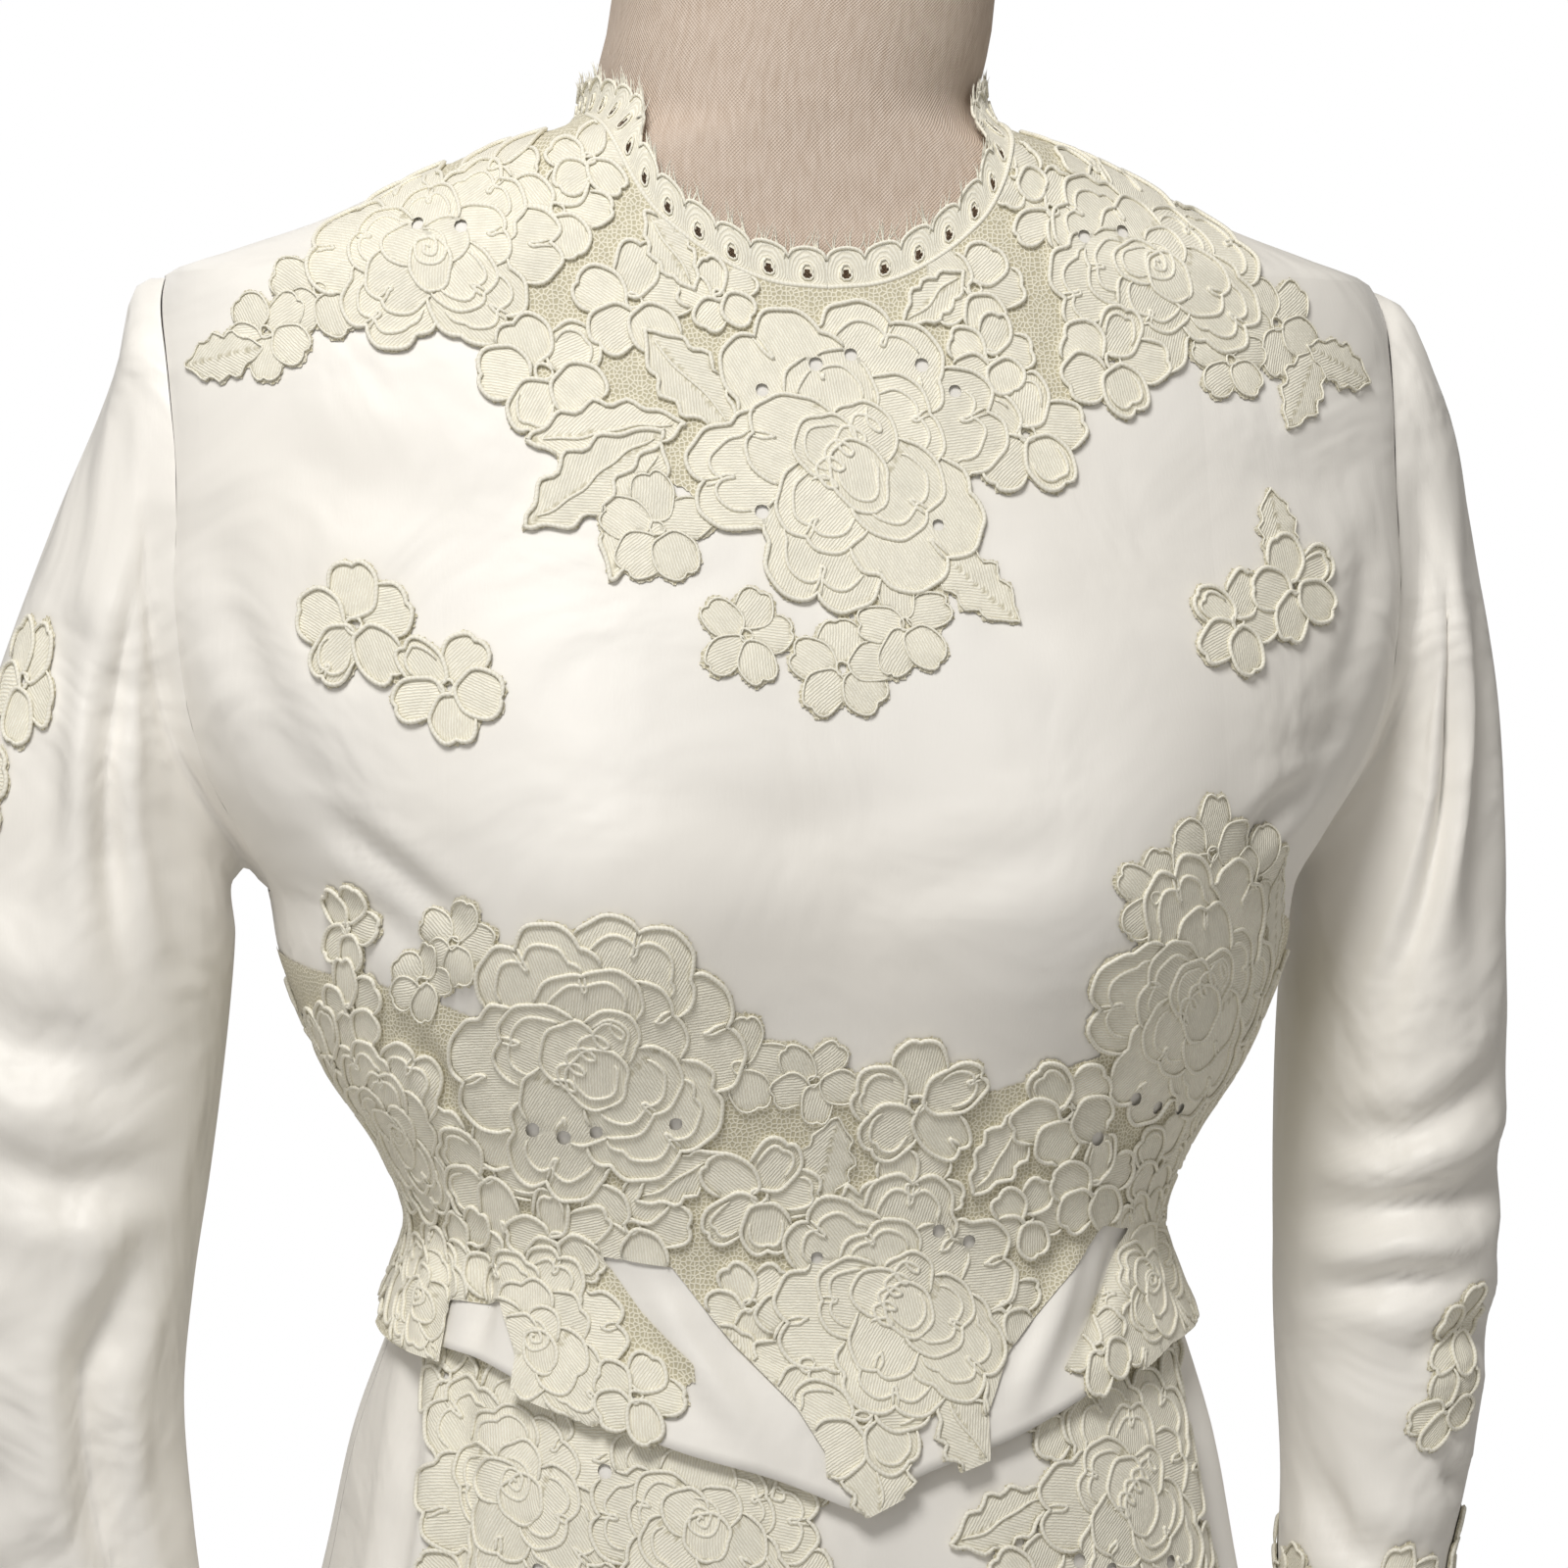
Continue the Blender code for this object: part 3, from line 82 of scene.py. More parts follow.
basqueEdge = np.array([(0, 1004), (12, 1014), (24, 1021), (42, 1034), (60, 1045), (90, 1047), (180, 1047)],
                      float)
skirtFolds = np.array([  # angle, width, depth at the hem, height where it starts
    (-170, 9, 16, 1030), (-150, 8, -13, 1030), (-132, 9, 17, 1030), (-114, 8, -14, 1035),
    (-97, 9, 15, 1035), (-79, 8, -12, 1035), (-62, 8, 13, 1040), (-44, 9, -6, 900), (-20, 12, 7, 800),
    (14, 13, 6, 760), (42, 10, -7, 900), (60, 9, 12, 1000), (78, 8, -12, 1030), (95, 9, 15, 1035),
    (113, 8, -13, 1035), (130, 9, 16, 1030), (149, 8, -12, 1030), (168, 9, 15, 1030),
], float)
bust = {"side": 84.0, "height": 1192.0, "depth": 17.0, "width": 58.0, "rise": 62.0, "drop": 42.0,
        "blend": 13.0}
armhole = {"low": 1183.0, "high": 1380.0, "front": 48.0, "back": 52.0, "gap": -0.25}
neckEdge = {"front": 1372.5, "shoulder": 1430.0, "back": 1414.0}
hemHeight = 14.0
waistHeight = 1075.0
armholeMiddle = (armhole["high"] + armhole["low"]) / 2
armholeHalf = (armhole["high"] - armhole["low"]) / 2


# Cubic through a table's rows that never overshoots them
def smoothRead(known, value, place):
    slope = np.diff(value) / np.diff(known)
    turning = slope[1:] * slope[:-1] <= 0
    total = np.where(turning, 1, slope[1:] + slope[:-1])
    tangent = np.concatenate([slope[:1], np.where(turning, 0, 2 * slope[1:] * slope[:-1] / total),
                              slope[-1:]])
    place = np.clip(np.asarray(place, float), known[0], known[-1])
    row = np.clip(np.searchsorted(known, place) - 1, 0, len(known) - 2)
    step = known[row + 1] - known[row]
    t = (place - known[row]) / step
    start = (1 + 2 * t) * (1 - t) ** 2 * value[row] + t * (1 - t) ** 2 * step * tangent[row]
    return start + t * t * (3 - 2 * t) * value[row + 1] + t * t * (t - 1) * step * tangent[row + 1]


# Level cut: a superellipse in polar form, its four reaches read from a table
def levelCut(cuts, angle, height, extra=0.0):
    halfWidth, front, back, sideLine = (smoothRead(cuts[:, 0], cuts[:, at], height) for at in (1, 2, 3, 4))
    depth = np.where(np.cos(angle) > 0, sideLine - front, back - sideLine)
    reach = np.abs(np.sin(angle) / halfWidth) ** cutPower + np.abs(np.cos(angle) / depth) ** cutPower
    reach = reach ** (-1 / cutPower) + extra
    x = reach * np.sin(angle)
    return np.stack([x, sideLine - reach * np.cos(angle), height + 0 * x], axis=-1)


# Bodice: its level cut, with a bust mound on each side that falls off as a bell curve
def bodyPoint(angle, height):
    point = levelCut(bodyCuts, angle, height)
    across = (np.hypot(point[..., 0], bust["blend"]) - bust["side"]) / bust["width"]
    rise = point[..., 2] - bust["height"]
    up = rise / np.where(rise > 0, bust["rise"], bust["drop"])
    facing = np.clip(np.cos(angle), 0, 1) ** 0.5
    point[..., 1] -= bust["depth"] * facing * np.exp(-(across**2) - up**2)
    return point


# Skirt: its level cut, with folds as bell curves in the angle that deepen towards the hem
def skirtPoint(angle, height):
    extra = 0 * (angle + height)
    for foldAngle, width, depth, start in skirtFolds:
        turn = (angle - math.radians(foldAngle) + math.pi) % fullTurn - math.pi
        fall = np.clip((start - height) / (start - hemHeight), 0, 1) ** 0.8
        extra = extra + depth * fall * np.exp(-((turn / math.radians(width)) ** 2))
    return levelCut(skirtCuts, angle, height, extra)


# Vectors divided by their own length
def unit(vectors):
    return vectors / np.maximum(np.linalg.norm(vectors, axis=-1, keepdims=True), 1e-12)


# Outward normal: the cross product of a small step round and a small step up
def outward(surface, angle, height):
    across = surface(angle + 0.004, height) - surface(angle - 0.004, height)
    return unit(np.cross(across, surface(angle, height + 0.6) - surface(angle, height - 0.6)))


# Form: the bodice moved inwards by its wall and a clearance, which closes where the shoulder ridge rests
# on the form; its width levels off at the shoulders, and it has hips of its own below the waist
form = {"wall": 1.5, "widest": 186, "ridgeGap": 0.35, "ridgeWidth": 4,
        "gapLevels": [1095, 1130, 1340, 1400, 1424, 1434], "gaps": [6.5, 3.0, 3.0, 2.8, 2.8, 2.6],
        "neckLevels": [1434, 1450, 1512], "neckWidths": [1.0, 1.03, 1.035],
        "leanLevels": [1436, 1460, 1478, 1512], "leans": [0, 5.0, 7, 4.0]}


def formPoint(angle, height):
    clearance = np.interp(height, form["gapLevels"], form["gaps"])
    offRidge = (np.abs(angle) - math.pi / 2) / math.radians(form["ridgeWidth"])
    touching = np.interp(height, [1372, 1377, 1420, 1427], [0, 1, 1, 0]) * np.exp(-(offRidge**2))
    clearance = clearance + (form["ridgeGap"] - clearance) * touching
    inwards = (form["wall"] + clearance)[..., None] * outward(bodyPoint, angle, height)
    upper = bodyPoint(angle, height) - inwards
    limit = form["widest"] * np.tanh(np.abs(upper[..., 0] / form["widest"]) ** 6) ** (1 / 6)
    far = np.abs(upper[..., 0]) > 0.6 * form["widest"]
    upper[..., 0] = np.where(far, np.sign(upper[..., 0]) * limit, upper[..., 0])
    upper[..., 0] *= np.interp(height, form["neckLevels"], form["neckWidths"])
    upper[..., 0] += np.interp(height, form["leanLevels"], form["leans"])
    return np.where((height < waistHeight)[..., None], levelCut(hipCuts, angle, height), upper)


# Half width of a level cut, and its depth from the side line to the front or the back
def halfCut(cuts, height, behind):
    sideLine = smoothRead(cuts[:, 0], cuts[:, 4], height)
    edge = smoothRead(cuts[:, 0], cuts[:, 3 if behind else 2], height)
    return smoothRead(cuts[:, 0], cuts[:, 1], height), np.abs(edge - sideLine)


# Angle where a level cut reaches x, from the superellipse solved for its depth there
def angleAtX(cuts, x, height, behind):
    halfWidth, edge = halfCut(cuts, height, behind)
    share = np.clip(np.abs(x) / halfWidth, 0, 1)
    angle = np.arctan2(np.abs(x), edge * (1 - share**cutPower) ** (1 / cutPower))
    return np.pi - angle if behind else angle


# Angle where a level cut lies a depth from its side line, from the superellipse solved for its width
def angleAtDepth(cuts, depth, height, behind):
    halfWidth, edge = halfCut(cuts, height, behind)
    share = np.clip(depth / edge, 0, 1)
    angle = np.arctan2(halfWidth * (1 - share**cutPower) ** (1 / cutPower), depth)
    return np.pi - angle if behind else angle


# Angle of the neck edge: where the level cut reaches the neck's half opening at that height
def neckAngle(height, behind):
    opening = smoothRead(neckCuts[:, 0], neckCuts[:, 2 if behind else 1], height)
    return angleAtX(bodyCuts, opening, height, behind)


# Distance run along each row of points: the running sum of its steps, from 0
def runLength(points):
    steps = np.linalg.norm(np.diff(points, axis=-2), axis=-1)
    return np.concatenate([np.zeros(steps.shape[:-1] + (1,)), np.cumsum(steps, axis=-1)], axis=-1)


# Grid normals: cross product of the differences along columns and rows
def gridNormals(points, closed=False):
    if closed:
        across = np.roll(points, -1, axis=1) - np.roll(points, 1, axis=1)
    else:
        across = np.gradient(points, axis=1)
    return unit(np.cross(across, np.gradient(points, axis=0)))


# Lift of a set of creases: each a trough along a line of points, its depth falling off as a bell
# curve across it and as a half sine along it, with a low ridge on both sides; depth below 0 is a ridge
def creaseLift(creases, u, v):
    lift = 0 * (u + v)
    for crease in creases:
        line = np.array(crease["line"], float)
        starts, ends = line[:-1], line[1:]
        lengths = np.linalg.norm(ends - starts, axis=1)
        before = np.concatenate([[0], np.cumsum(lengths)[:-1]])
        nearest = np.full(u.shape, 1e9)
        along = 0 * nearest
        for start, end, length, sofar in zip(starts, ends, lengths, before):
            direction = (end - start) / length
            place = np.clip((u - start[0]) * direction[0] + (v - start[1]) * direction[1], 0, length)
            distance = np.hypot(u - start[0] - place * direction[0], v - start[1] - place * direction[1])
            along = np.where(distance < nearest, (sofar + place) / lengths.sum(), along)
            nearest = np.minimum(nearest, distance)
        width = crease["width"]
        taper = np.sin(np.pi * np.clip(along, 0.02, 0.98)) ** 0.7
        side = np.exp(-(((nearest - 1.9 * width) / width) ** 2))
        lift -= crease["depth"] * taper * (np.exp(-((nearest / width) ** 2)) - 0.35 * side)
    return lift


# Chart: the surface read on a regular plan, distance round the body by height, so that what is
# drawn flat can be laid on it
def makeChart(surface, middle, us, vs, creases):
    side = 180  # columns on each side of the middle
    angles = middle + np.radians(np.linspace(-chartLook["spread"], chartLook["spread"], 2 * side + 1))
    path = surface(angles[None, :] + 0 * vs[:, None], vs[:, None] + 0 * angles[None, :])
    distance = runLength(path)
    distance -= distance[:, side:side + 1]
    angle = np.array([np.interp(us, row, angles) for row in distance])
    points = surface(angle, vs[:, None] + 0 * angle)
    lift = creaseLift(creases, us[None, :] + 0 * angle, vs[:, None] + 0 * angle)
    points = points + lift[..., None] * gridNormals(points)
    return {"us": us, "vs": vs, "points": points, "normals": gridNormals(points),
            "angles": angles, "distance": distance}


# Bilinear reading of a table: its four nearest entries, each weighed by how near it lies
def readTable(table, row, column):
    r = np.minimum(row.astype(int), table.shape[0] - 2)
    c = np.minimum(column.astype(int), table.shape[1] - 2)
    fr, fc = row - r, column - c
    if table.ndim == 3:
        fr, fc = fr[..., None], fc[..., None]
    below = table[r, c] * (1 - fc) + table[r, c + 1] * fc
    above = table[r + 1, c] * (1 - fc) + table[r + 1, c + 1] * fc
    return below * (1 - fr) + above * fr


# A plan place laid on the chart's surface: its point moved out along its normal by the lift
def onChart(chart, u, v, lift):
    column = np.interp(u, chart["us"], np.arange(len(chart["us"])))
    row = np.interp(v, chart["vs"], np.arange(len(chart["vs"])))
    normals = unit(readTable(chart["normals"], row, column))
    return readTable(chart["points"], row,
                     column) + (np.asarray(lift) + 0 * u)[..., None] * normals, normals


# Distance round the body at an angle, read from the chart's own table
def distanceAt(chart, angle, height):
    row = np.interp(height, chart["vs"], np.arange(len(chart["vs"])))
    column = np.interp(angle, chart["angles"], np.arange(len(chart["angles"])))
    return readTable(chart["distance"], row, column)


# sRGB hex to linear light: a dark channel over 12.92, any other (c + 0.055) / 1.055 to the power 2.4
def linearColour(hexCode):
    channels = [int(hexCode[at:at + 2], 16) / 255 for at in (0, 2, 4)]
    return tuple(c / 12.92 if c <= 0.04045 else ((c + 0.055) / 1.055) ** 2.4 for c in channels) + (1.0,)


# Mesh from whole arrays: points in millimetres times toMetres, faces in blocks of one corner count, and
# point attributes as vectors; the piece stands at the origin and rides the dress
def makeMesh(name, points, faces, material, attributes=None):
    mesh = bpy.data.meshes.new(name)
    points = np.ascontiguousarray(points, np.float32) * np.float32(toMetres)
    mesh.vertices.add(len(points))
    mesh.vertices.foreach_set("co", points.ravel())
    if isinstance(faces, np.ndarray):
        faces = [faces]
    counts = np.concatenate([np.full(len(block), block.shape[1]) for block in faces])
    corners = np.concatenate([block.ravel() for block in faces])
    mesh.loops.add(len(corners))
    mesh.loops.foreach_set("vertex_index", corners.astype(np.int32))
    mesh.polygons.add(len(counts))
    mesh.polygons.foreach_set("loop_start", (np.cumsum(counts) - counts).astype(np.int32))
    mesh.polygons.foreach_set("loop_total", counts.astype(np.int32))
    mesh.polygons.foreach_set("use_smooth", np.full(len(counts), True))
    for key, values in (attributes or {}).items():
        layer = mesh.attributes.new(key, "FLOAT_VECTOR", "POINT")
        layer.data.foreach_set("vector", np.ascontiguousarray(values, np.float32).ravel())
    mesh.update(calc_edges=True)
    mesh.validate()
    mesh.materials.append(material)
    piece = bpy.data.objects.new(name, mesh)
    bpy.context.scene.collection.objects.link(piece)
    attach(piece, "root")
    return piece


# Quads of a grid, facing outwards when columns run towards +X in front and rows run up
def gridQuads(rows, columns, closed=False):
    row, start = np.meshgrid(np.arange(rows - 1), np.arange(columns if closed else columns - 1),
                             indexing="ij")
    end = (start + 1) % columns
    quads = [row * columns + start, row * columns + end, (row + 1) * columns + end,
             (row + 1) * columns + start]
    return np.stack([corner.ravel() for corner in quads], axis=1)


# Rows of a grid with two more before them: the one that the turned-in edge reaches up to, and the first
def edgeRows(values, depth):
    return np.concatenate([values[depth:depth + 1], values[:1], values])


# A lower edge turned in: the two rows more are moved in by the satin's wall
def turnUnder(points, normals, depth):
    inner = edgeRows(points - satinWall * normals, depth)[:2]
    return np.concatenate([inner, points]), edgeRows(normals, depth)


# Plan places as a vector for each point: distance round, height and a third value
def planAttribute(u, v, third=0.0):
    return np.stack([u + 0 * v, v + 0 * u, third + 0 * (u + v)], axis=-1).reshape(-1, 3)


# Faces of a closed round grid with a pole at each end: its quads, then fans to the first and last pole
def roundFaces(rows, sides, firstPole, lastPole):
    start = np.arange(sides)
    end = (start + 1) % sides
    top = (rows - 1) * sides
    return [gridQuads(rows, sides, True), np.stack([end, start, np.full(sides, firstPole)], axis=1),
            np.stack([top + start, top + end, np.full(sides, lastPole)], axis=1)]


# Surface of revolution: a half outline turned about an upright axis
def turned(name, centre, profile, material):
    sides = 72
    profile = np.array(profile, float)
    turn = np.arange(sides) * fullTurn / sides
    ring = np.stack([np.cos(turn), np.sin(turn), 0 * turn], axis=1)
    rise = np.array([[0, 0, 1]])
    body = profile[1:-1]
    points = body[:, 0][:, None, None] * ring + body[:, 1][:, None, None] * rise
    points = np.concatenate([points.reshape(-1, 3), [[0, 0, profile[0, 1]], [0, 0, profile[-1, 1]]]])
    points = points + np.array([centre[0], centre[1], 0])
    last = len(body) * sides
    return makeMesh(name, points, roundFaces(len(body), sides, last, last + 1), material)


# Tubes: a ring of some sides carried along each line, with the twist's place in its own attribute (run
# length, turn, sine of the turn); all lines are in one mesh
def tubes(name, lines, material, sides):
    turn = np.arange(sides) * fullTurn / sides
    allPoints, allQuads, allCaps, allTwists = [], [], [], []
    count = 0
    for line in lines:
        centre, normal, radius = line["points"], line["normals"], line["radius"]
        tangent = unit(np.gradient(centre, axis=0))
        side = unit(np.cross(tangent, normal))
        up = np.cross(side, tangent)
        radius = (radius + 0 * centre[:, 0])[:, None, None]
        ring = np.cos(turn)[None, :, None] * side[:, None] + np.sin(turn)[None, :, None] * up[:, None]
        points = centre[:, None] + radius * ring
        allPoints.append(points.reshape(-1, 3))
        allTwists.append(planAttribute(runLength(centre)[:, None], turn[None, :], np.sin(turn)[None, :]))
        allQuads.append(gridQuads(len(centre), sides, True)[:, ::-1] + count)
        first = np.arange(sides) + count
        allCaps += [first, (first + (len(centre) - 1) * sides)[::-1]]
        count += len(centre) * sides
    faces = [np.concatenate(allQuads), np.array(allCaps)]
    return makeMesh(name, np.concatenate(allPoints), faces, material, {"twist": np.concatenate(allTwists)})


# A new material, its node tree and its shader
def newMaterial(name):
    material = bpy.data.materials.new(name)
    material.use_nodes = True
    return material, material.node_tree, material.node_tree.nodes["Principled BSDF"]


# Adds a node with its settings and its inputs
def addNode(tree, kind, settings=None, inputs=None):
    node = tree.nodes.new(kind)
    for key, value in (settings or {}).items():
        setattr(node, key, value)
    setInputs(tree, node, inputs or {})
    return node


# Sets a node's inputs: a pair of node and output is linked, anything else is a plain value
def setInputs(tree, node, inputs):
    for key, value in inputs.items():
        if isinstance(value, tuple) and isinstance(value[0], bpy.types.Node):
            tree.links.new(value[0].outputs[value[1]], node.inputs[key])
        else:
            node.inputs[key].default_value = value


# Duchesse satin: long warp floats give a smooth, softly bright face with a faint upright grain, drawn
# 0.5 mm wide since real floats of 0.1 mm don't show; handling leaves soft crumples, more at the sides
def makeSatin():
    look = {"lit": "FDFBF7", "shade": "F7F3EB", "roughness": 0.47, "floatSize": 0.5, "floatsPerMetre": 60,
            "crumpleHeight": 0.012, "calmWithin": 0.12, "crumpledBeyond": 0.19}
    material, tree, shader = newMaterial("ivoryDuchesseSatin")
    place = addNode(tree, "ShaderNodeTexCoord")
    grain = 1000 / look["floatSize"] / 2
    stretch = addNode(tree, "ShaderNodeMapping", None,
                      {0: (place, "Object"), "Scale": (grain, grain, look["floatsPerMetre"])})
    floats = addNode(tree, "ShaderNodeTexNoise", None,
                     {"Vector": (stretch, 0), "Scale": 1.0, "Detail": 2.0})
    cloud = addNode(tree, "ShaderNodeTexNoise", None,
                    {"Vector": (place, "Object"), "Scale": 9.0, "Detail": 2.0})
    tint = addNode(tree, "ShaderNodeMix", {"data_type": "RGBA"},
                   {0: (cloud, 0), 6: linearColour(look["lit"]), 7: linearColour(look["shade"])})
    crumple = addNode(tree, "ShaderNodeTexNoise", None,
                      {"Vector": (place, "Object"), "Scale": 16.0, "Detail": 3.0,
                                                         "Roughness": 0.45, "Distortion": 0.6})
    parts = addNode(tree, "ShaderNodeSeparateXYZ", None, {0: (place, "Object")})
    aside = addNode(tree, "ShaderNodeMath", {"operation": "ABSOLUTE"}, {0: (parts, 0)})
    worn = addNode(tree, "ShaderNodeMapRange", None,
                   {0: (aside, 0), 1: look["calmWithin"], 2: look["crumpledBeyond"], 3: 0.35, 4: 1.0})
    worked = addNode(tree, "ShaderNodeMath", {"operation": "MULTIPLY"}, {0: (crumple, 0), 1: (worn, 0)})
    soft = addNode(tree, "ShaderNodeBump", None,
                   {"Strength": 0.85, "Distance": look["crumpleHeight"], "Height": (worked, 0)})
    bump = addNode(tree, "ShaderNodeBump", None,
                   {"Strength": 0.2, "Distance": 0.0002, "Height": (floats, 0), "Normal": (soft, 0)})
    setInputs(tree, shader, {"Base Color": (tint, 2), "Normal": (bump, 0), "Roughness": look["roughness"],
                             "Sheen Weight": 0.15, "Sheen Roughness": 0.4})
    return material


# Corded cotton lace: matt, close-worked petals with fine thread lines, drawn 0.9 mm apart since real
# ones of 0.4 mm don't show, the grooves between them darker as painted shade, and a net of uneven cells whose gaps
# are painted dark as shade over the satin seen through them; the attribute "plan" holds the place and the thread's
# phase in millimetres, "work" the share of fill, the tone (random, and darker towards each petal's edge as painted
# shade) and the holes, painted with the gaps' shade
def makeLace():
    # The groove colour is painted shade between the threads; the gap colour is painted shade over the satin seen
    # through the net and the holes
    look = {"light": "FFFCEE", "grooveShade": "EEE9D7", "strand": "F1ECD9", "gap": "C6BFA4", "roughness": 0.85,
            "threadSpacing": 0.9, "threadWander": 5.0, "netCell": 1.45, "holeShade": 0.7}
    material, tree, shader = newMaterial("sageCreamLace")
    plan = addNode(tree, "ShaderNodeAttribute", {"attribute_name": "plan"})
    work = addNode(tree, "ShaderNodeAttribute", {"attribute_name": "work"})
    parts = addNode(tree, "ShaderNodeSeparateXYZ", None, {0: (plan, "Vector")})
    flags = addNode(tree, "ShaderNodeSeparateXYZ", None, {0: (work, "Vector")})
    phase = addNode(tree, "ShaderNodeMath", {"operation": "MULTIPLY"},
                    {0: (parts, 2), 1: fullTurn / look["threadSpacing"]})
    fuzz = addNode(tree, "ShaderNodeTexNoise", None,
                   {"Vector": (plan, "Vector"), "Scale": 0.9, "Detail": 2.0})
    wander = addNode(tree, "ShaderNodeMath", {"operation": "MULTIPLY_ADD"},
                     {0: (fuzz, 0), 1: look["threadWander"], 2: (phase, 0)})
    wave = addNode(tree, "ShaderNodeMath", {"operation": "SINE"}, {0: (wander, 0)})
    threads = addNode(tree, "ShaderNodeMapRange", None, {0: (wave, 0), 1: -0.9, 2: 0.9})
    net = addNode(tree, "ShaderNodeTexVoronoi", {"feature": "DISTANCE_TO_EDGE", "voronoi_dimensions": "2D"},
                  {"Vector": (plan, "Vector"), "Scale": 1 / look["netCell"], "Randomness": 0.8})
    strands = addNode(tree, "ShaderNodeMapRange", None, {0: (net, 0), 1: 0.08, 2: 0.24, 3: 1.0, 4: 0.0})
    uneven = addNode(tree, "ShaderNodeTexNoise", None,
                     {"Vector": (plan, "Vector"), "Scale": 0.22, "Detail": 3.0})
    # Thread lines: the grooves between them are painted darker as shade
    petal = addNode(tree, "ShaderNodeMix", {"data_type": "RGBA"},
                    {0: (threads, 0), 6: linearColour(look["grooveShade"]), 7: linearColour(look["light"])})
    # Net: strands over gaps that are painted dark as shade
    ground = addNode(tree, "ShaderNodeMix", {"data_type": "RGBA"},
                     {0: (strands, 0), 6: linearColour(look["gap"]), 7: linearColour(look["strand"])})
    worked = addNode(tree, "ShaderNodeMix", {"data_type": "RGBA"},
                     {0: (flags, 0), 6: (ground, 2), 7: (petal, 2)})
    # Holes in the petals are painted with the gap's dark colour as shade
    holeShadeMask = addNode(tree, "ShaderNodeMath", {"operation": "MULTIPLY"},
                      {0: (flags, 2), 1: look["holeShade"]})
    colour = addNode(tree, "ShaderNodeMix", {"data_type": "RGBA"},
                     {0: (holeShadeMask, 0), 6: (worked, 2), 7: linearColour(look["gap"])})
    mottle = addNode(tree, "ShaderNodeMapRange", None, {0: (uneven, 0), 1: 0.3, 2: 0.7, 3: 0.98, 4: 1.08})
    tone = addNode(tree, "ShaderNodeMath", {"operation": "MULTIPLY"}, {0: (flags, 1), 1: (mottle, 0)})
    toned = addNode(tree, "ShaderNodeMix", {"data_type": "RGBA", "blend_type": "MULTIPLY"},
                    {0: 1.0, 6: (colour, 2), 7: (tone, 0)})
    relief = addNode(tree, "ShaderNodeMix", {"data_type": "FLOAT"},
                     {0: (flags, 0), 2: (strands, 0), 3: (threads, 0)})
    bump = addNode(tree, "ShaderNodeBump", None,
                   {"Strength": 0.5, "Distance": 0.0004, "Height": (relief, 0)})
    setInputs(tree, shader, {"Base Color": (toned, 2), "Normal": (bump, 0), "Roughness": look["roughness"],
                             "Sheen Weight": 0.15, "Sheen Roughness": 0.5})
    return material


# Cotton gimp cord: matt and a little lighter than the lace, with its twist as slanting lines whose grooves are
# darkened by painted shade; "twist" holds the length run, in millimetres, and the turn round the cord
def makeCord():
    look = {"light": "FBF8EB", "grooveShade": "F0ECDC", "roughness": 0.75, "twistPitch": 1.4}
    material, tree, shader = newMaterial("cottonGimpCord")
    twist = addNode(tree, "ShaderNodeAttribute", {"attribute_name": "twist"})
    parts = addNode(tree, "ShaderNodeSeparateXYZ", None, {0: (twist, "Vector")})
    along = addNode(tree, "ShaderNodeMath", {"operation": "MULTIPLY_ADD"},
                    {0: (parts, 0), 1: fullTurn / look["twistPitch"], 2: (parts, 1)})
    wave = addNode(tree, "ShaderNodeMath", {"operation": "SINE"}, {0: (along, 0)})
    lines = addNode(tree, "ShaderNodeMapRange", None, {0: (wave, 0), 1: -1.0, 2: 0.6})
    # Twist lines: the grooves are painted darker as shade
    colour = addNode(tree, "ShaderNodeMix", {"data_type": "RGBA"},
                     {0: (lines, 0), 6: linearColour(look["grooveShade"]), 7: linearColour(look["light"])})
    bump = addNode(tree, "ShaderNodeBump", None,
                   {"Strength": 0.15, "Distance": 0.0001, "Height": (lines, 0)})
    setInputs(tree, shader, {"Base Color": (colour, 2), "Normal": (bump, 0),
                             "Roughness": look["roughness"]})
    return material
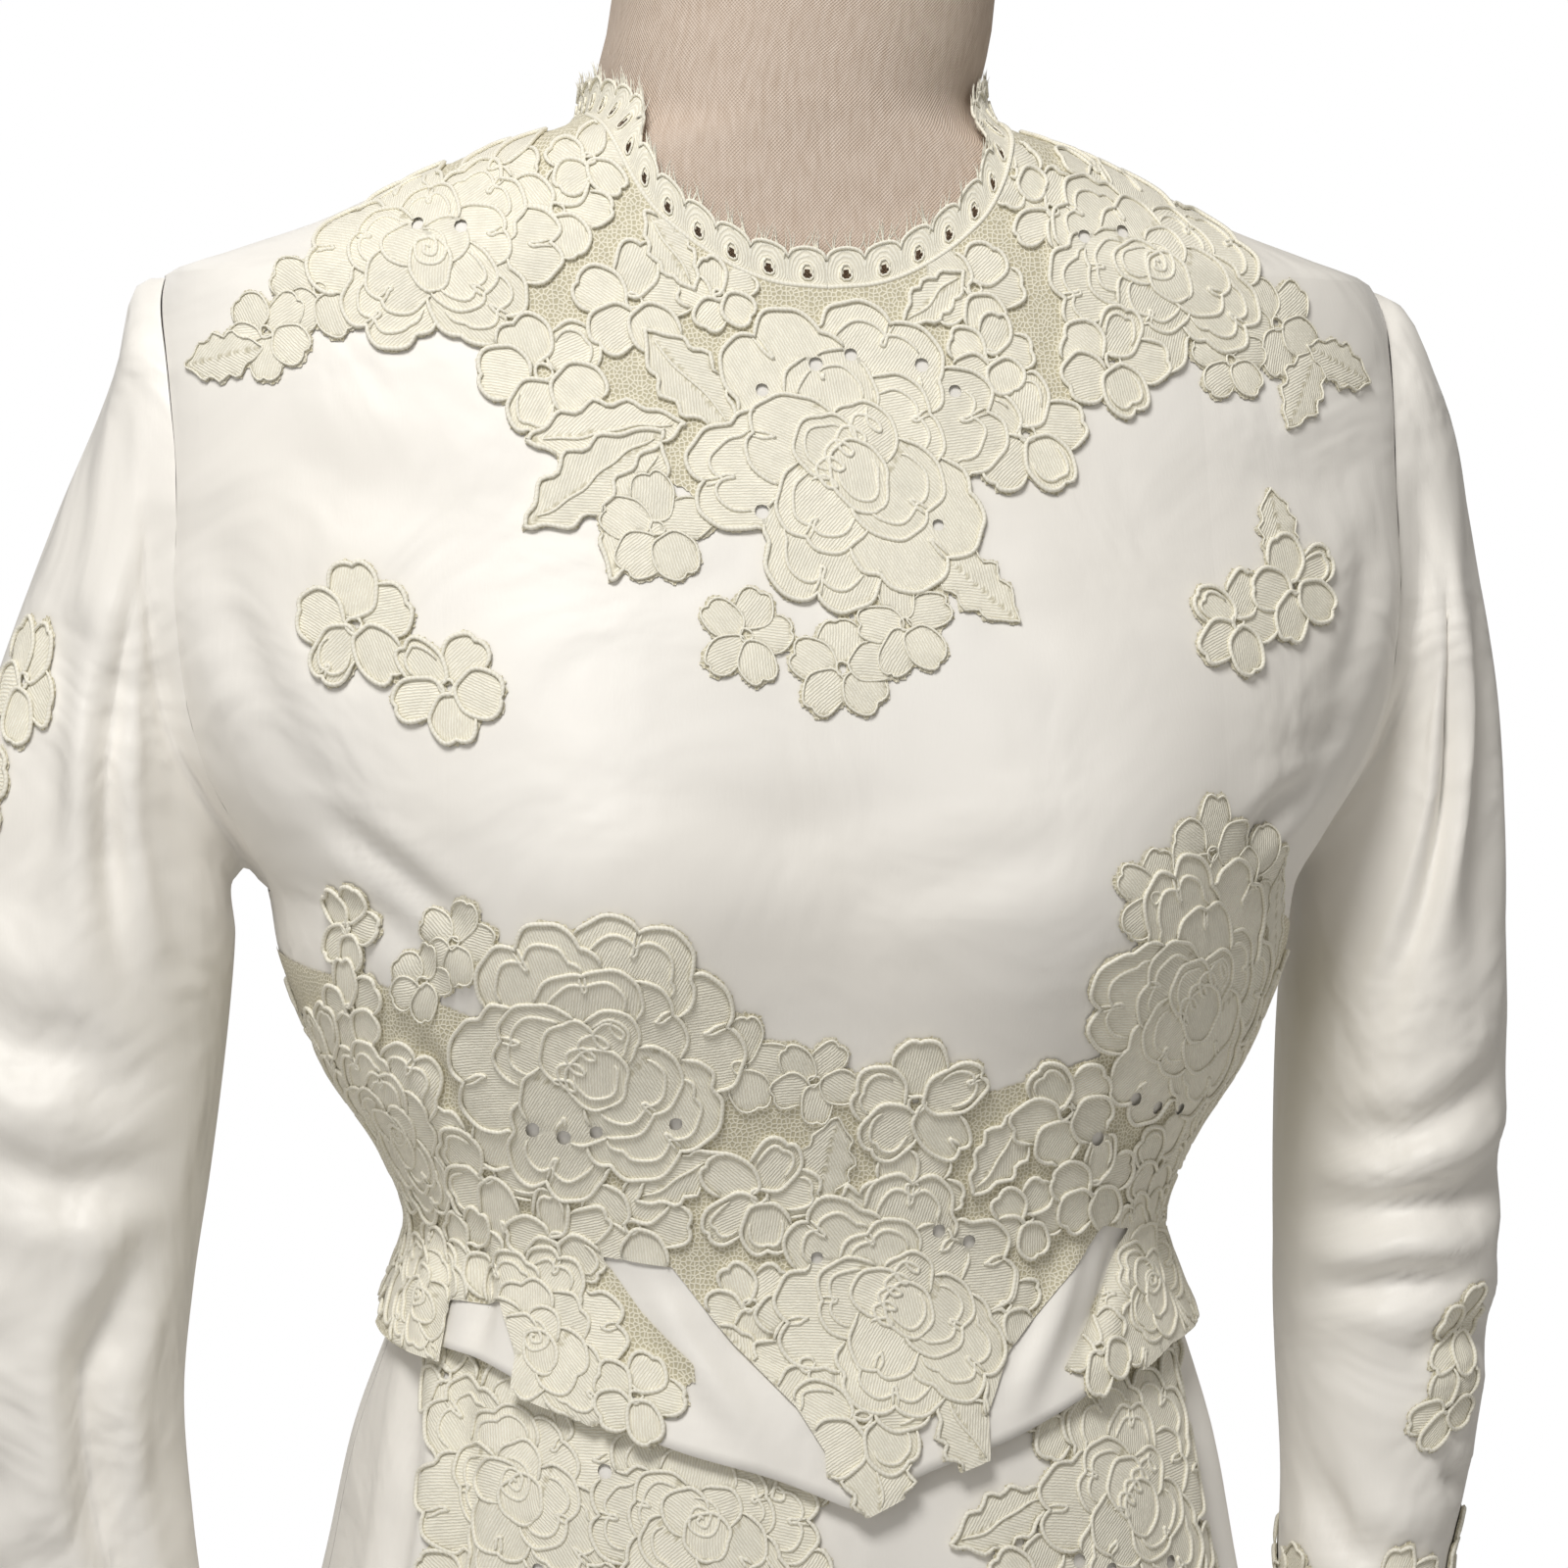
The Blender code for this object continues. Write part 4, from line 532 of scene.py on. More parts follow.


# Linen: plain weave of slubby warp and weft, matt, oatmeal with a pink cast, darker in the weave's hollows as painted
# shade and uneven in long streaks of its own colour; its pitch is drawn 1.15 mm, since a real one of 0.7 mm doesn't
# show
def makeLinen():
    look = {"light": "E6D6C8", "dark": "C4AF9C", "roughness": 0.9, "pitch": 1.15, "slub": 0.12,
            "streaks": (0.55, 0.12, 1)}
    material, tree, shader = newMaterial("oatmealLinen")
    plan = addNode(tree, "ShaderNodeAttribute", {"attribute_name": "plan"})
    slub = addNode(tree, "ShaderNodeTexNoise", None,
                   {"Vector": (plan, "Vector"), "Scale": 0.18, "Detail": 4.0})
    bend = addNode(tree, "ShaderNodeVectorMath", {"operation": "SCALE"},
                   {0: (slub, 1), "Scale": look["slub"] * 4})
    bent = addNode(tree, "ShaderNodeVectorMath", {"operation": "ADD"}, {0: (plan, "Vector"), 1: (bend, 0)})
    parts = addNode(tree, "ShaderNodeSeparateXYZ", None, {0: (bent, 0)})
    waves = []
    for axis in (0, 1):
        turn = addNode(tree, "ShaderNodeMath", {"operation": "MULTIPLY"},
                       {0: (parts, axis), 1: fullTurn / look["pitch"]})
        waves.append(addNode(tree, "ShaderNodeMath", {"operation": "SINE"}, {0: (turn, 0)}))
    weave = addNode(tree, "ShaderNodeMath", {"operation": "MULTIPLY"}, {0: (waves[0], 0), 1: (waves[1], 0)})
    height = addNode(tree, "ShaderNodeMapRange", None, {0: (weave, 0), 1: -0.7, 2: 0.7})
    streak = addNode(tree, "ShaderNodeMapping", None, {0: (plan, "Vector"), "Scale": look["streaks"]})
    streaks = addNode(tree, "ShaderNodeTexNoise", None,
                      {"Vector": (streak, 0), "Scale": 1.0, "Detail": 3.0})
    # Colour: the weave's hollows painted darker as shade, plus the streaks of the yarn's own colour
    mixed = addNode(tree, "ShaderNodeMath", {"operation": "MULTIPLY_ADD"},
                    {0: (height, 0), 1: 0.55, 2: (streaks, 0)})
    shade = addNode(tree, "ShaderNodeMapRange", None, {0: (mixed, 0), 1: 0.25, 2: 1.15})
    colour = addNode(tree, "ShaderNodeMix", {"data_type": "RGBA"},
                     {0: (shade, 0), 6: linearColour(look["dark"]), 7: linearColour(look["light"])})
    bump = addNode(tree, "ShaderNodeBump", None,
                   {"Strength": 0.7, "Distance": 0.0004, "Height": (height, 0)})
    setInputs(tree, shader, {"Base Color": (colour, 2), "Normal": (bump, 0),
                             "Roughness": look["roughness"]})
    return material


# Black stoved enamel on iron: half matt, with a faint orange peel that repeats about every 3.3 mm
def makeIron():
    look = {"paint": "2A2928", "roughness": 0.42, "peelPerMetre": 300.0}
    material, tree, shader = newMaterial("blackEnamelledIron")
    place = addNode(tree, "ShaderNodeTexCoord")
    peel = addNode(tree, "ShaderNodeTexNoise", None,
                   {"Vector": (place, "Object"), "Scale": look["peelPerMetre"]})
    bump = addNode(tree, "ShaderNodeBump", None,
                   {"Strength": 0.15, "Distance": 0.0003, "Height": (peel, 0)})
    setInputs(tree, shader, {"Base Color": linearColour(look["paint"]), "Normal": (bump, 0),
                             "Roughness": look["roughness"]})
    return material


# Waxed beech: pale brown, half gloss, with flecks about 4 mm wide that run 33 mm along the grain
def makeBeech():
    look = {"dark": "9A7245", "light": "C79B6B", "roughness": 0.45, "flecksPerMetre": (30, 260, 260)}
    material, tree, shader = newMaterial("waxedBeech")
    place = addNode(tree, "ShaderNodeTexCoord")
    stretch = addNode(tree, "ShaderNodeMapping", None,
                      {0: (place, "Object"), "Scale": look["flecksPerMetre"]})
    grain = addNode(tree, "ShaderNodeTexNoise", None, {"Vector": (stretch, 0), "Scale": 1.0, "Detail": 4.0})
    colour = addNode(tree, "ShaderNodeMix", {"data_type": "RGBA"},
                     {0: (grain, 0), 6: linearColour(look["dark"]), 7: linearColour(look["light"])})
    setInputs(tree, shader, {"Base Color": (colour, 2), "Roughness": look["roughness"]})
    return material


satin, lace, cord, linen, iron, beech = (
    makeSatin(), makeLace(), makeCord(), makeLinen(), makeIron(), makeBeech())
print("materials made")


# Charts of the front and the back, with the main creases listed: shallow bust darts, drag
# lines at the armholes, soft wrinkles over the bust and short folds in the free basque
chartLook = {"spread": 104, "step": 2.0, "halfBody": 290, "halfSkirt": 200}
frontCreases = [
    {"line": [(-172, 1214), (-146, 1196), (-118, 1177)], "width": 5.5, "depth": 3.6},
    {"line": [(-160, 1190), (-136, 1172), (-124, 1150)], "width": 6.0, "depth": 2.5},
    {"line": [(-137, 1146), (-128, 1133), (-123, 1120)], "width": 4.0, "depth": 2.7},
    {"line": [(-196, 1300), (-190, 1262), (-176, 1228)], "width": 9.0, "depth": 2.7},
    {"line": [(-184, 1330), (-150, 1312), (-112, 1306)], "width": 12.0, "depth": 1.4},
    {"line": [(-60, 1222), (-22, 1210), (24, 1212)], "width": 10.0, "depth": 1.4},
    {"line": [(-8, 1190), (30, 1196), (74, 1206)], "width": 8.0, "depth": 1.2},
    {"line": [(38, 1286), (50, 1272), (68, 1262)], "width": 8.0, "depth": 1.7},
    {"line": [(176, 1222), (152, 1212), (134, 1200)], "width": 5.5, "depth": 3.3},
    {"line": [(188, 1242), (170, 1232), (152, 1229)], "width": 4.5, "depth": 1.8},
    {"line": [(192, 1302), (186, 1266), (172, 1238)], "width": 8.0, "depth": 2.4},
    {"line": [(140, 1322), (168, 1312), (190, 1316)], "width": 9.0, "depth": 1.2},
    {"line": [(-118, 1080), (-116, 1064), (-121, 1046)], "width": 5.0, "depth": 3.9},
    {"line": [(-146, 1078), (-143, 1062), (-149, 1044)], "width": 5.0, "depth": -3.0},
    {"line": [(-60, 1074), (-48, 1052), (-26, 1022)], "width": 5.0, "depth": -3.3},
    {"line": [(-40, 1076), (-30, 1056), (-14, 1036)], "width": 4.0, "depth": 2.1},
    {"line": [(84, 1078), (68, 1052), (52, 1028)], "width": 4.5, "depth": -3.0},
    {"line": [(104, 1080), (92, 1060), (76, 1040)], "width": 4.0, "depth": 2.4},
    {"line": [(136, 1082), (132, 1066), (138, 1046)], "width": 5.0, "depth": 2.7},
]
backCreases = [
    {"line": [(-166, 1216), (-140, 1204), (-112, 1198)], "width": 7.0, "depth": 2.5},
    {"line": [(168, 1224), (138, 1208), (118, 1204)], "width": 7.0, "depth": 2.8},
    {"line": [(-150, 1300), (-120, 1284), (-84, 1282)], "width": 11.0, "depth": 2.0},
    {"line": [(144, 1310), (112, 1290), (70, 1288)], "width": 11.0, "depth": 1.7},
    {"line": [(-92, 1170), (-66, 1152), (-34, 1150)], "width": 8.0, "depth": 2.1},
    {"line": [(96, 1164), (60, 1150), (30, 1153)], "width": 8.0, "depth": 1.8},
    {"line": [(-70, 1078), (-72, 1062), (-66, 1044)], "width": 5.0, "depth": 2.8},
    {"line": [(60, 1078), (64, 1060), (58, 1044)], "width": 5.0, "depth": -2.5},
]
bodyUs = np.arange(-chartLook["halfBody"], chartLook["halfBody"] + 1, chartLook["step"])
frontChart = makeChart(bodyPoint, 0.0, bodyUs, np.arange(990, 1437, chartLook["step"]), frontCreases)
backChart = makeChart(bodyPoint, math.pi, bodyUs, np.arange(1030, 1437, chartLook["step"]), backCreases)
skirtCreases = [
    {"line": [(-126, 1060), (-121, 1010), (-134, 930), (-138, 820)], "width": 7.0, "depth": 5.1},
    {"line": [(-152, 1060), (-150, 1000), (-168, 900)], "width": 8.0, "depth": 4.5},
    {"line": [(-98, 1050), (-108, 960), (-118, 860)], "width": 8.0, "depth": 2.7},
    {"line": [(138, 1060), (142, 1000), (150, 930)], "width": 8.0, "depth": 3.6},
    {"line": [(20, 1010), (16, 940), (24, 840)], "width": 16.0, "depth": 2.4},
    {"line": [(-30, 640), (-42, 480), (-36, 300)], "width": 18.0, "depth": 4.5},
    {"line": [(120, 700), (132, 520), (128, 320)], "width": 18.0, "depth": 3.9},
]
skirtUs = np.arange(-chartLook["halfSkirt"], chartLook["halfSkirt"] + 1, chartLook["step"])
skirtChart = makeChart(skirtPoint, 0.0, skirtUs, np.arange(850, 1066, chartLook["step"]), skirtCreases)
print("charts made")


# Bodice half: rows of height, columns from the centre (or the neck edge) out to the side seam, the
# shoulder seam or the armhole, whose depth is that of an ellipse between underarm and shoulder
bodiceLook = {"levelFrom": 1098, "edgeRows": 24, "sideRows": 26, "armholeRows": 62, "neckRows": 22,
              "frontColumns": 82, "backColumns": 58, "rollDepth": 0.8, "rollWidth": 2.6, "turnUp": 2}


def bodiceGrid(behind, columns, chart, creases):
    rise = np.linspace(0, 1, bodiceLook["edgeRows"])[:-1]
    lower = np.linspace(bodiceLook["levelFrom"], armhole["low"], bodiceLook["sideRows"])[:-1]
    turn = np.linspace(math.pi, 0, bodiceLook["armholeRows"])
    neckRows = np.linspace(armhole["high"], neckCuts[-1, 0], bodiceLook["neckRows"])[1:]
    heights = np.concatenate([lower, armholeMiddle + armholeHalf * np.cos(turn), neckRows])
    openness = np.concatenate([0 * lower, np.sin(turn), 0 * neckRows]).clip(0, 1)
    halfSeam = seamGap / 2 / smoothRead(bodyCuts[:, 0], bodyCuts[:, 1], heights)
    side = math.pi / 2 + halfSeam * (1 if behind else -1)
    depth = armhole["back" if behind else "front"] * openness
    outer = np.where(openness > 1e-6, angleAtDepth(bodyCuts, depth, heights, behind), side)
    inner = neckAngle(heights, behind)
    if behind:
        backReach = np.abs(smoothRead(bodyCuts[:, 0], bodyCuts[:, 3], heights))
        inner = np.minimum(inner, math.pi - seamGap / 2 / backReach)
    share = np.linspace(0, 1, columns)
    angle = inner[:, None] + (outer - inner)[:, None] * share
    edge = smoothRead(basqueEdge[:, 0], basqueEdge[:, 1], np.abs(np.degrees(angle[0])))
    free = edge * (1 - rise[:, None]) + heights[0] * rise[:, None]
    height = np.concatenate([free, heights[:, None] + 0 * angle])
    angle = np.concatenate([angle[:1] + 0 * rise[:, None], angle])
    points, normals = bodyPoint(angle, height), outward(bodyPoint, angle, height)
    u = distanceAt(chart, angle, height)
    beside = np.concatenate([0 * rise, openness])[:, None] > 1e-6
    bell = np.exp(-((np.abs(u - u[:, -1:]) / bodiceLook["rollWidth"]) ** 2))
    rolled = bodiceLook["rollDepth"] * bell * beside
    return {"angle": angle, "height": height, "u": u, "points": points - rolled[..., None] * normals,
            "normals": normals, "creases": creases}


# Creases lifted on a grid, the other half mirrored, and the lower edge turned in
def finishedGrid(grid, flip):
    u = -grid["u"] if flip else grid["u"]
    side = np.array([-1, 1, 1]) if flip else 1
    points = grid["points"] + creaseLift(grid["creases"], u, grid["height"])[..., None] * grid["normals"]
    points = turnUnder(points * side, grid["normals"] * side, bodiceLook["turnUp"])[0]
    return points, planAttribute(edgeRows(u, bodiceLook["turnUp"]),
                                 edgeRows(grid["height"], bodiceLook["turnUp"]))


# Sum of the areas of a piece's faces
def flatArea(piece):
    mesh = piece.data
    areas = np.zeros(len(mesh.polygons))
    mesh.polygons.foreach_get("area", areas)
    return float(areas.sum())


# A sheet of cloth: the node that it stands for is hidden, and its area is worked out with the rectangle that it was
# cut from;
# the area is that of its faces, but at least 0.32 of the rectangle and at most all of it
def dressSheet(piece, node, flat):
    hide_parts(node)
    area = min(max(flatArea(piece), 0.32 * flat[0] * flat[1]), flat[0] * flat[1])


frontHalf = bodiceGrid(False, bodiceLook["frontColumns"], frontChart, frontCreases)
rightPoints, rightPlan = finishedGrid(frontHalf, False)
leftPoints, leftPlan = finishedGrid(frontHalf, True)
rows, columns = rightPoints.shape[:2]
rightQuads = gridQuads(rows, columns)
neckRow = int(np.argmax(frontHalf["angle"][:, 0] > 1e-3)) + 2  # the two rows of the edge come before
onAxis = np.arange(0, neckRow) * columns
leftIndex = np.arange(rows * columns) + rows * columns
leftIndex[onAxis] = onAxis
bodicePoints = np.concatenate([rightPoints.reshape(-1, 3), leftPoints.reshape(-1, 3)])
bodicePoints[onAxis, 0] = 0
bodice = makeMesh("bodiceFront", bodicePoints, [rightQuads, leftIndex[gridQuads(rows, columns)][:, ::-1]],
                  satin,
                  {"plan": np.concatenate([rightPlan, leftPlan])})
dressSheet(bodice, "bodice_front", (0.52, 0.46))
backHalf = bodiceGrid(True, bodiceLook["backColumns"], backChart, backCreases)
for name, flip in (("Right", False), ("Left", True)):
    points, plan = finishedGrid(backHalf, flip)
    quads = gridQuads(*points.shape[:2])
    quads = quads if flip else quads[:, ::-1]
    panel = makeMesh("bodiceBack" + name, points.reshape(-1, 3), quads, satin, {"plan": plan})
    dressSheet(panel, "bodice_back_" + name.lower(), (0.27, 0.41))
print("bodice made")


# Skirt panel between two angles, half a seam gap short of each, its hem turned in; half of its rows lie
# below the hip, and the front one's creases are placed from its middle
skirtLook = {"top": 1073, "finerAbove": 850, "turnUp": 3}


def skirtPanel(name, first, last, columns, rows, node, flat):
    heights = np.concatenate([np.linspace(hemHeight, skirtLook["finerAbove"], rows // 2)[:-1],
                              np.linspace(skirtLook["finerAbove"], skirtLook["top"], rows - rows // 2)])
    pull = seamGap / 2 / smoothRead(skirtCuts[:, 0], skirtCuts[:, 1], heights)
    start, end = math.radians(first) + pull, math.radians(last) - pull
    angle = start[:, None] + (end - start)[:, None] * np.linspace(0, 1, columns)
    height = heights[:, None] + 0 * angle
    points, normals = skirtPoint(angle, height), outward(skirtPoint, angle, height)
    u = runLength(points)
    if name == "skirtFront":
        u = u - u[:, -1:] / 2
        points = points + creaseLift(skirtCreases, u, height)[..., None] * normals
    points = turnUnder(points, normals, skirtLook["turnUp"])[0]
    plan = planAttribute(edgeRows(u, skirtLook["turnUp"]), edgeRows(height, skirtLook["turnUp"]))
    panel = makeMesh(name, points.reshape(-1, 3), gridQuads(*points.shape[:2]), satin, {"plan": plan})
    dressSheet(panel, node, flat)


skirtPanel("skirtFront", -90, 90, 150, 120, "skirt_front", (1.12, 1.10))
skirtPanel("skirtBackRight", 90, 180, 90, 96, "skirt_back_right", (0.68, 1.12))
skirtPanel("skirtBackLeft", -180, -90, 90, 96, "skirt_back_left", (0.68, 1.12))
print("skirt made")

# Sleeve rings: outer x and z, inner x and z, share of the armhole's bulge, middle y, half depth
rightRings = np.array([
    (206.5, 1378, 173, 1189, 1.0, 10, 47), (219, 1355, 178, 1187, 0.85, 10, 48.5),
    (230, 1313, 177, 1170, 0.6, 9.5, 50.5), (239, 1264, 175.5, 1152, 0.35, 8.5, 50),
    (244, 1208, 173, 1128, 0.15, 6.5, 49), (246.5, 1152, 171, 1096, 0.05, 3.5, 47),
    (245, 1097, 170, 1060, 0, 0, 45), (241, 1046, 169.5, 1022, 0, -4, 42.5),
    (234, 996, 170.5, 981, 0, -8, 39), (224, 955, 169, 945, 0, -12, 36),
                       (221, 905, 173.5, 898, 0, -16, 32.5),
    (227, 850, 185, 846, 0, -21, 29), (238, 803, 199.5, 800, 0, -25, 26.5),
], float)
leftRings = np.array([
    (206.5, 1377.5, 173, 1189, 1.0, 10, 47), (214, 1352, 178.5, 1187, 0.85, 10, 48.5),
    (234, 1303, 178.5, 1169, 0.6, 9, 50.5), (252.5, 1254, 180, 1150, 0.35, 7.5, 50),
    (269, 1202, 183, 1124, 0.15, 5.5, 49), (281, 1150, 187.5, 1092, 0.05, 2.5, 47),
    (286, 1098, 193, 1058, 0, -1, 45), (284, 1047, 196.5, 1022, 0, -5, 43),
                      (276, 998, 194, 982, 0, -9, 39.5),
    (265, 955, 190, 945, 0, -12, 36.5), (254, 905, 189, 898, 0, -16, 33),
                      (245, 850, 191.5, 846, 0, -21, 29.5),
    (245, 803, 200, 800, 0, -25, 27),
], float)
# Creases by distance from the outermost line (front below 0 on the right, above 0 on the left) and down
rightSleeveCreases = [
    {"line": [(-118, -168), (-84, -186), (-30, -190)], "width": 7.0, "depth": 3.5},
    {"line": [(-124, -196), (-92, -206), (-52, -220), (-14, -222)], "width": 7.5, "depth": 5.4},
    {"line": [(-112, -232), (-80, -234), (-44, -248)], "width": 6.0, "depth": 4.5},
    {"line": [(-70, -262), (-42, -262), (-12, -276)], "width": 7.0, "depth": 3.5},
    {"line": [(-40, -60), (-52, -110), (-46, -158)], "width": 13.0, "depth": 3.8},
    {"line": [(-92, -26), (-84, -72), (-98, -128)], "width": 10.0, "depth": 4.2},
    {"line": [(-96, -300), (-76, -322), (-48, -336)], "width": 6.0, "depth": 2.9},
    {"line": [(-46, -304), (-36, -312), (-22, -316)], "width": 4.0, "depth": 2.6},
    {"line": [(40, -180), (66, -196), (96, -192)], "width": 8.0, "depth": 4.2},
    {"line": [(30, -226), (64, -220), (98, -236)], "width": 8.0, "depth": 3.5},
    {"line": [(60, -50), (52, -104), (66, -150)], "width": 12.0, "depth": 3.5},
    {"line": [(-60, -360), (-20, -372), (30, -366)], "width": 8.0, "depth": 2.6},
]
leftSleeveCreases = [
    {"line": [(112, -204), (102, -226), (86, -252), (78, -300), (76, -352)], "width": 7.0, "depth": 6.1},
    {"line": [(96, -150), (64, -162), (24, -160)], "width": 9.0, "depth": 2.9},
    {"line": [(118, -176), (84, -196), (40, -204)], "width": 8.0, "depth": 3.8},
    {"line": [(60, -222), (36, -230), (6, -226)], "width": 8.0, "depth": 3.2},
    {"line": [(44, -60), (56, -104), (48, -142)], "width": 13.0, "depth": 3.2},
    {"line": [(94, -24), (86, -66), (100, -120)], "width": 10.0, "depth": 4.2},
    {"line": [(56, -284), (34, -300), (8, -306)], "width": 8.0, "depth": 2.9},
    {"line": [(-36, -186), (-70, -198), (-100, -190)], "width": 8.0, "depth": 3.8},
    {"line": [(-30, -238), (-62, -232), (-96, -246)], "width": 8.0, "depth": 3.5},
    {"line": [(-60, -56), (-50, -106), (-64, -150)], "width": 12.0, "depth": 3.2},
]


sleeveLook = {"columns": 97, "rows": 156, "length": 620, "chartHalf": 130, "chartStep": 1.5,
              "creaseGain": 1.5,
              "puckerDepth": 0.45, "puckerPitch": 4.1, "rollDepth": 0.8, "rollWidth": 2.6, "turnUp": 3}


# Armhole seam on the +X side by the turn from the shoulder (0) forwards, moved out by the gap, which
# then passes to ovals; between rings each point follows a cubic through its neighbours
def sleeveGrid(rings, turn, places, left):
    height = armholeMiddle + armholeHalf * np.cos(turn)
    front = angleAtDepth(bodyCuts, armhole["front"] * np.maximum(np.sin(turn), 0), height, False)
    back = angleAtDepth(bodyCuts, armhole["back"] * np.maximum(-np.sin(turn), 0), height, True)
    angle = np.where(np.sin(turn) >= 0, front, back)
    seam = bodyPoint(angle, height)
    away = unit(np.cross(outward(bodyPoint, angle, height), np.gradient(seam, axis=0)))
    away *= -np.sign((away * (seam - seam.mean(axis=0))).sum(axis=1, keepdims=True))
    seam = seam + armhole["gap"] * away

    # Oval between its highest and lowest point: a cosine down, a sine forwards
    def oval(high, low, halfDepth):
        level = (high + low) / 2 + (high - low) / 2 * np.cos(turn)[:, None]
        return level - np.stack([0 * turn, halfDepth * np.sin(turn), 0 * turn], axis=1)

    top, bottom = seam[np.argmin(np.abs(turn))], seam[0]
    bulge = seam - oval(top, bottom, (seam[:, 1].max() - seam[:, 1].min()) / 2)
    levels = [seam]
    for outerX, outerZ, innerX, innerZ, share, middleY, halfDepth in rings:
        ring = oval(np.array([outerX, middleY, outerZ]), np.array([innerX, middleY, innerZ]), halfDepth)
        levels.append(ring + share * bulge)
    levels = np.array(levels)
    fall = runLength(levels.mean(axis=1))
    slopes = np.gradient(levels, fall, axis=0)
    places = np.clip(places, 0, fall[-1])
    row = np.clip(np.searchsorted(fall, places) - 1, 0, len(fall) - 2)
    step = (fall[row + 1] - fall[row])[:, None, None]
    t = ((places - fall[row]) / (fall[row + 1] - fall[row]))[:, None, None]
    points = (1 + 2 * t) * (1 - t) ** 2 * levels[row] + t * (1 - t) ** 2 * step * slopes[row]
    points = points + t * t * (3 - 2 * t) * levels[row + 1] + t * t * (t - 1) * step * slopes[row + 1]
    roundArm = runLength(points)
    roundArm -= roundArm[:, np.argmin(np.abs(turn)), None]
    down = -places[:, None] + 0 * roundArm
    if left:
        return points[::-1] * [-1, 1, 1], roundArm[::-1], down[::-1]
    return points[::-1, ::-1], -roundArm[::-1, ::-1], down[::-1]


# A sleeve's creases, faded out at the underarm seam, with its head rolled in and slight easing puckers,
# a sine of a sine round the arm
def sleevePoints(rings, turn, places, left, creases):
    points, u, v = sleeveGrid(rings, turn, places, left)
    normals = gridNormals(points)
    ends = unit(normals[:, :1] + normals[:, -1:])
    normals[:, :1], normals[:, -1:] = ends, ends
    lift = sleeveLook["creaseGain"] * creaseLift(creases, u, v)
    fade = np.clip((np.abs(u).max(axis=1, keepdims=True) - np.abs(u)) / 12, 0, 1)
    puckers = np.sin(u / sleeveLook["puckerPitch"] + 1.3 * np.sin(u / 17))
    easing = sleeveLook["puckerDepth"] * puckers * np.exp(-(((v + 9) / 9) ** 2))
    rolled = sleeveLook["rollDepth"] * np.exp(-((v / sleeveLook["rollWidth"]) ** 2))
    lift = lift * fade + easing * fade - rolled
    return points + lift[..., None] * normals, normals, u, v


sleeveCharts = {}
for name, rings, left, creases in (("Right", rightRings, False, rightSleeveCreases),
                                   ("Left", leftRings, True, leftSleeveCreases)):
    turn = np.linspace(-math.pi, math.pi, sleeveLook["columns"])
    places = np.linspace(0, sleeveLook["length"], sleeveLook["rows"])
    points, normals, u, v = sleevePoints(rings, turn, places, left, creases)
    keep = np.flatnonzero(np.abs(np.diff(v[:, 0], prepend=v[0, 0] - 1)) > 1e-6)
    points, normals, u, v = points[keep], normals[keep], u[keep], v[keep]
    us = np.arange(-sleeveLook["chartHalf"], sleeveLook["chartHalf"] + 1, sleeveLook["chartStep"])
    wrapped = (us[None, :] - u[:, :1]) % (u[:, -1:] - u[:, :1]) + u[:, :1]
    chartPoints = np.array([[np.interp(wrapped[row], u[row], points[row, :, axis]) for axis in range(3)]
                            for row in range(len(v))]).transpose(0, 2, 1)
    sleeveCharts[name] = {"us": us, "vs": v[:, 0], "points": chartPoints,
                          "normals": gridNormals(chartPoints),
                          "halfGirth": (u[:, -1] - u[:, 0]) / 2}
    shell = turnUnder(points[:, :-1], normals[:, :-1], sleeveLook["turnUp"])[0]
    plan = planAttribute(edgeRows(u[:, :-1], sleeveLook["turnUp"]),
                         edgeRows(v[:, :-1], sleeveLook["turnUp"]))
    quads = gridQuads(*shell.shape[:2], closed=True)
    sleeve = makeMesh("sleeve" + name, shell.reshape(-1, 3), quads, satin, {"plan": plan})
    dressSheet(sleeve, "sleeve_" + name.lower(), (0.36, 0.66))
print("sleeves made")


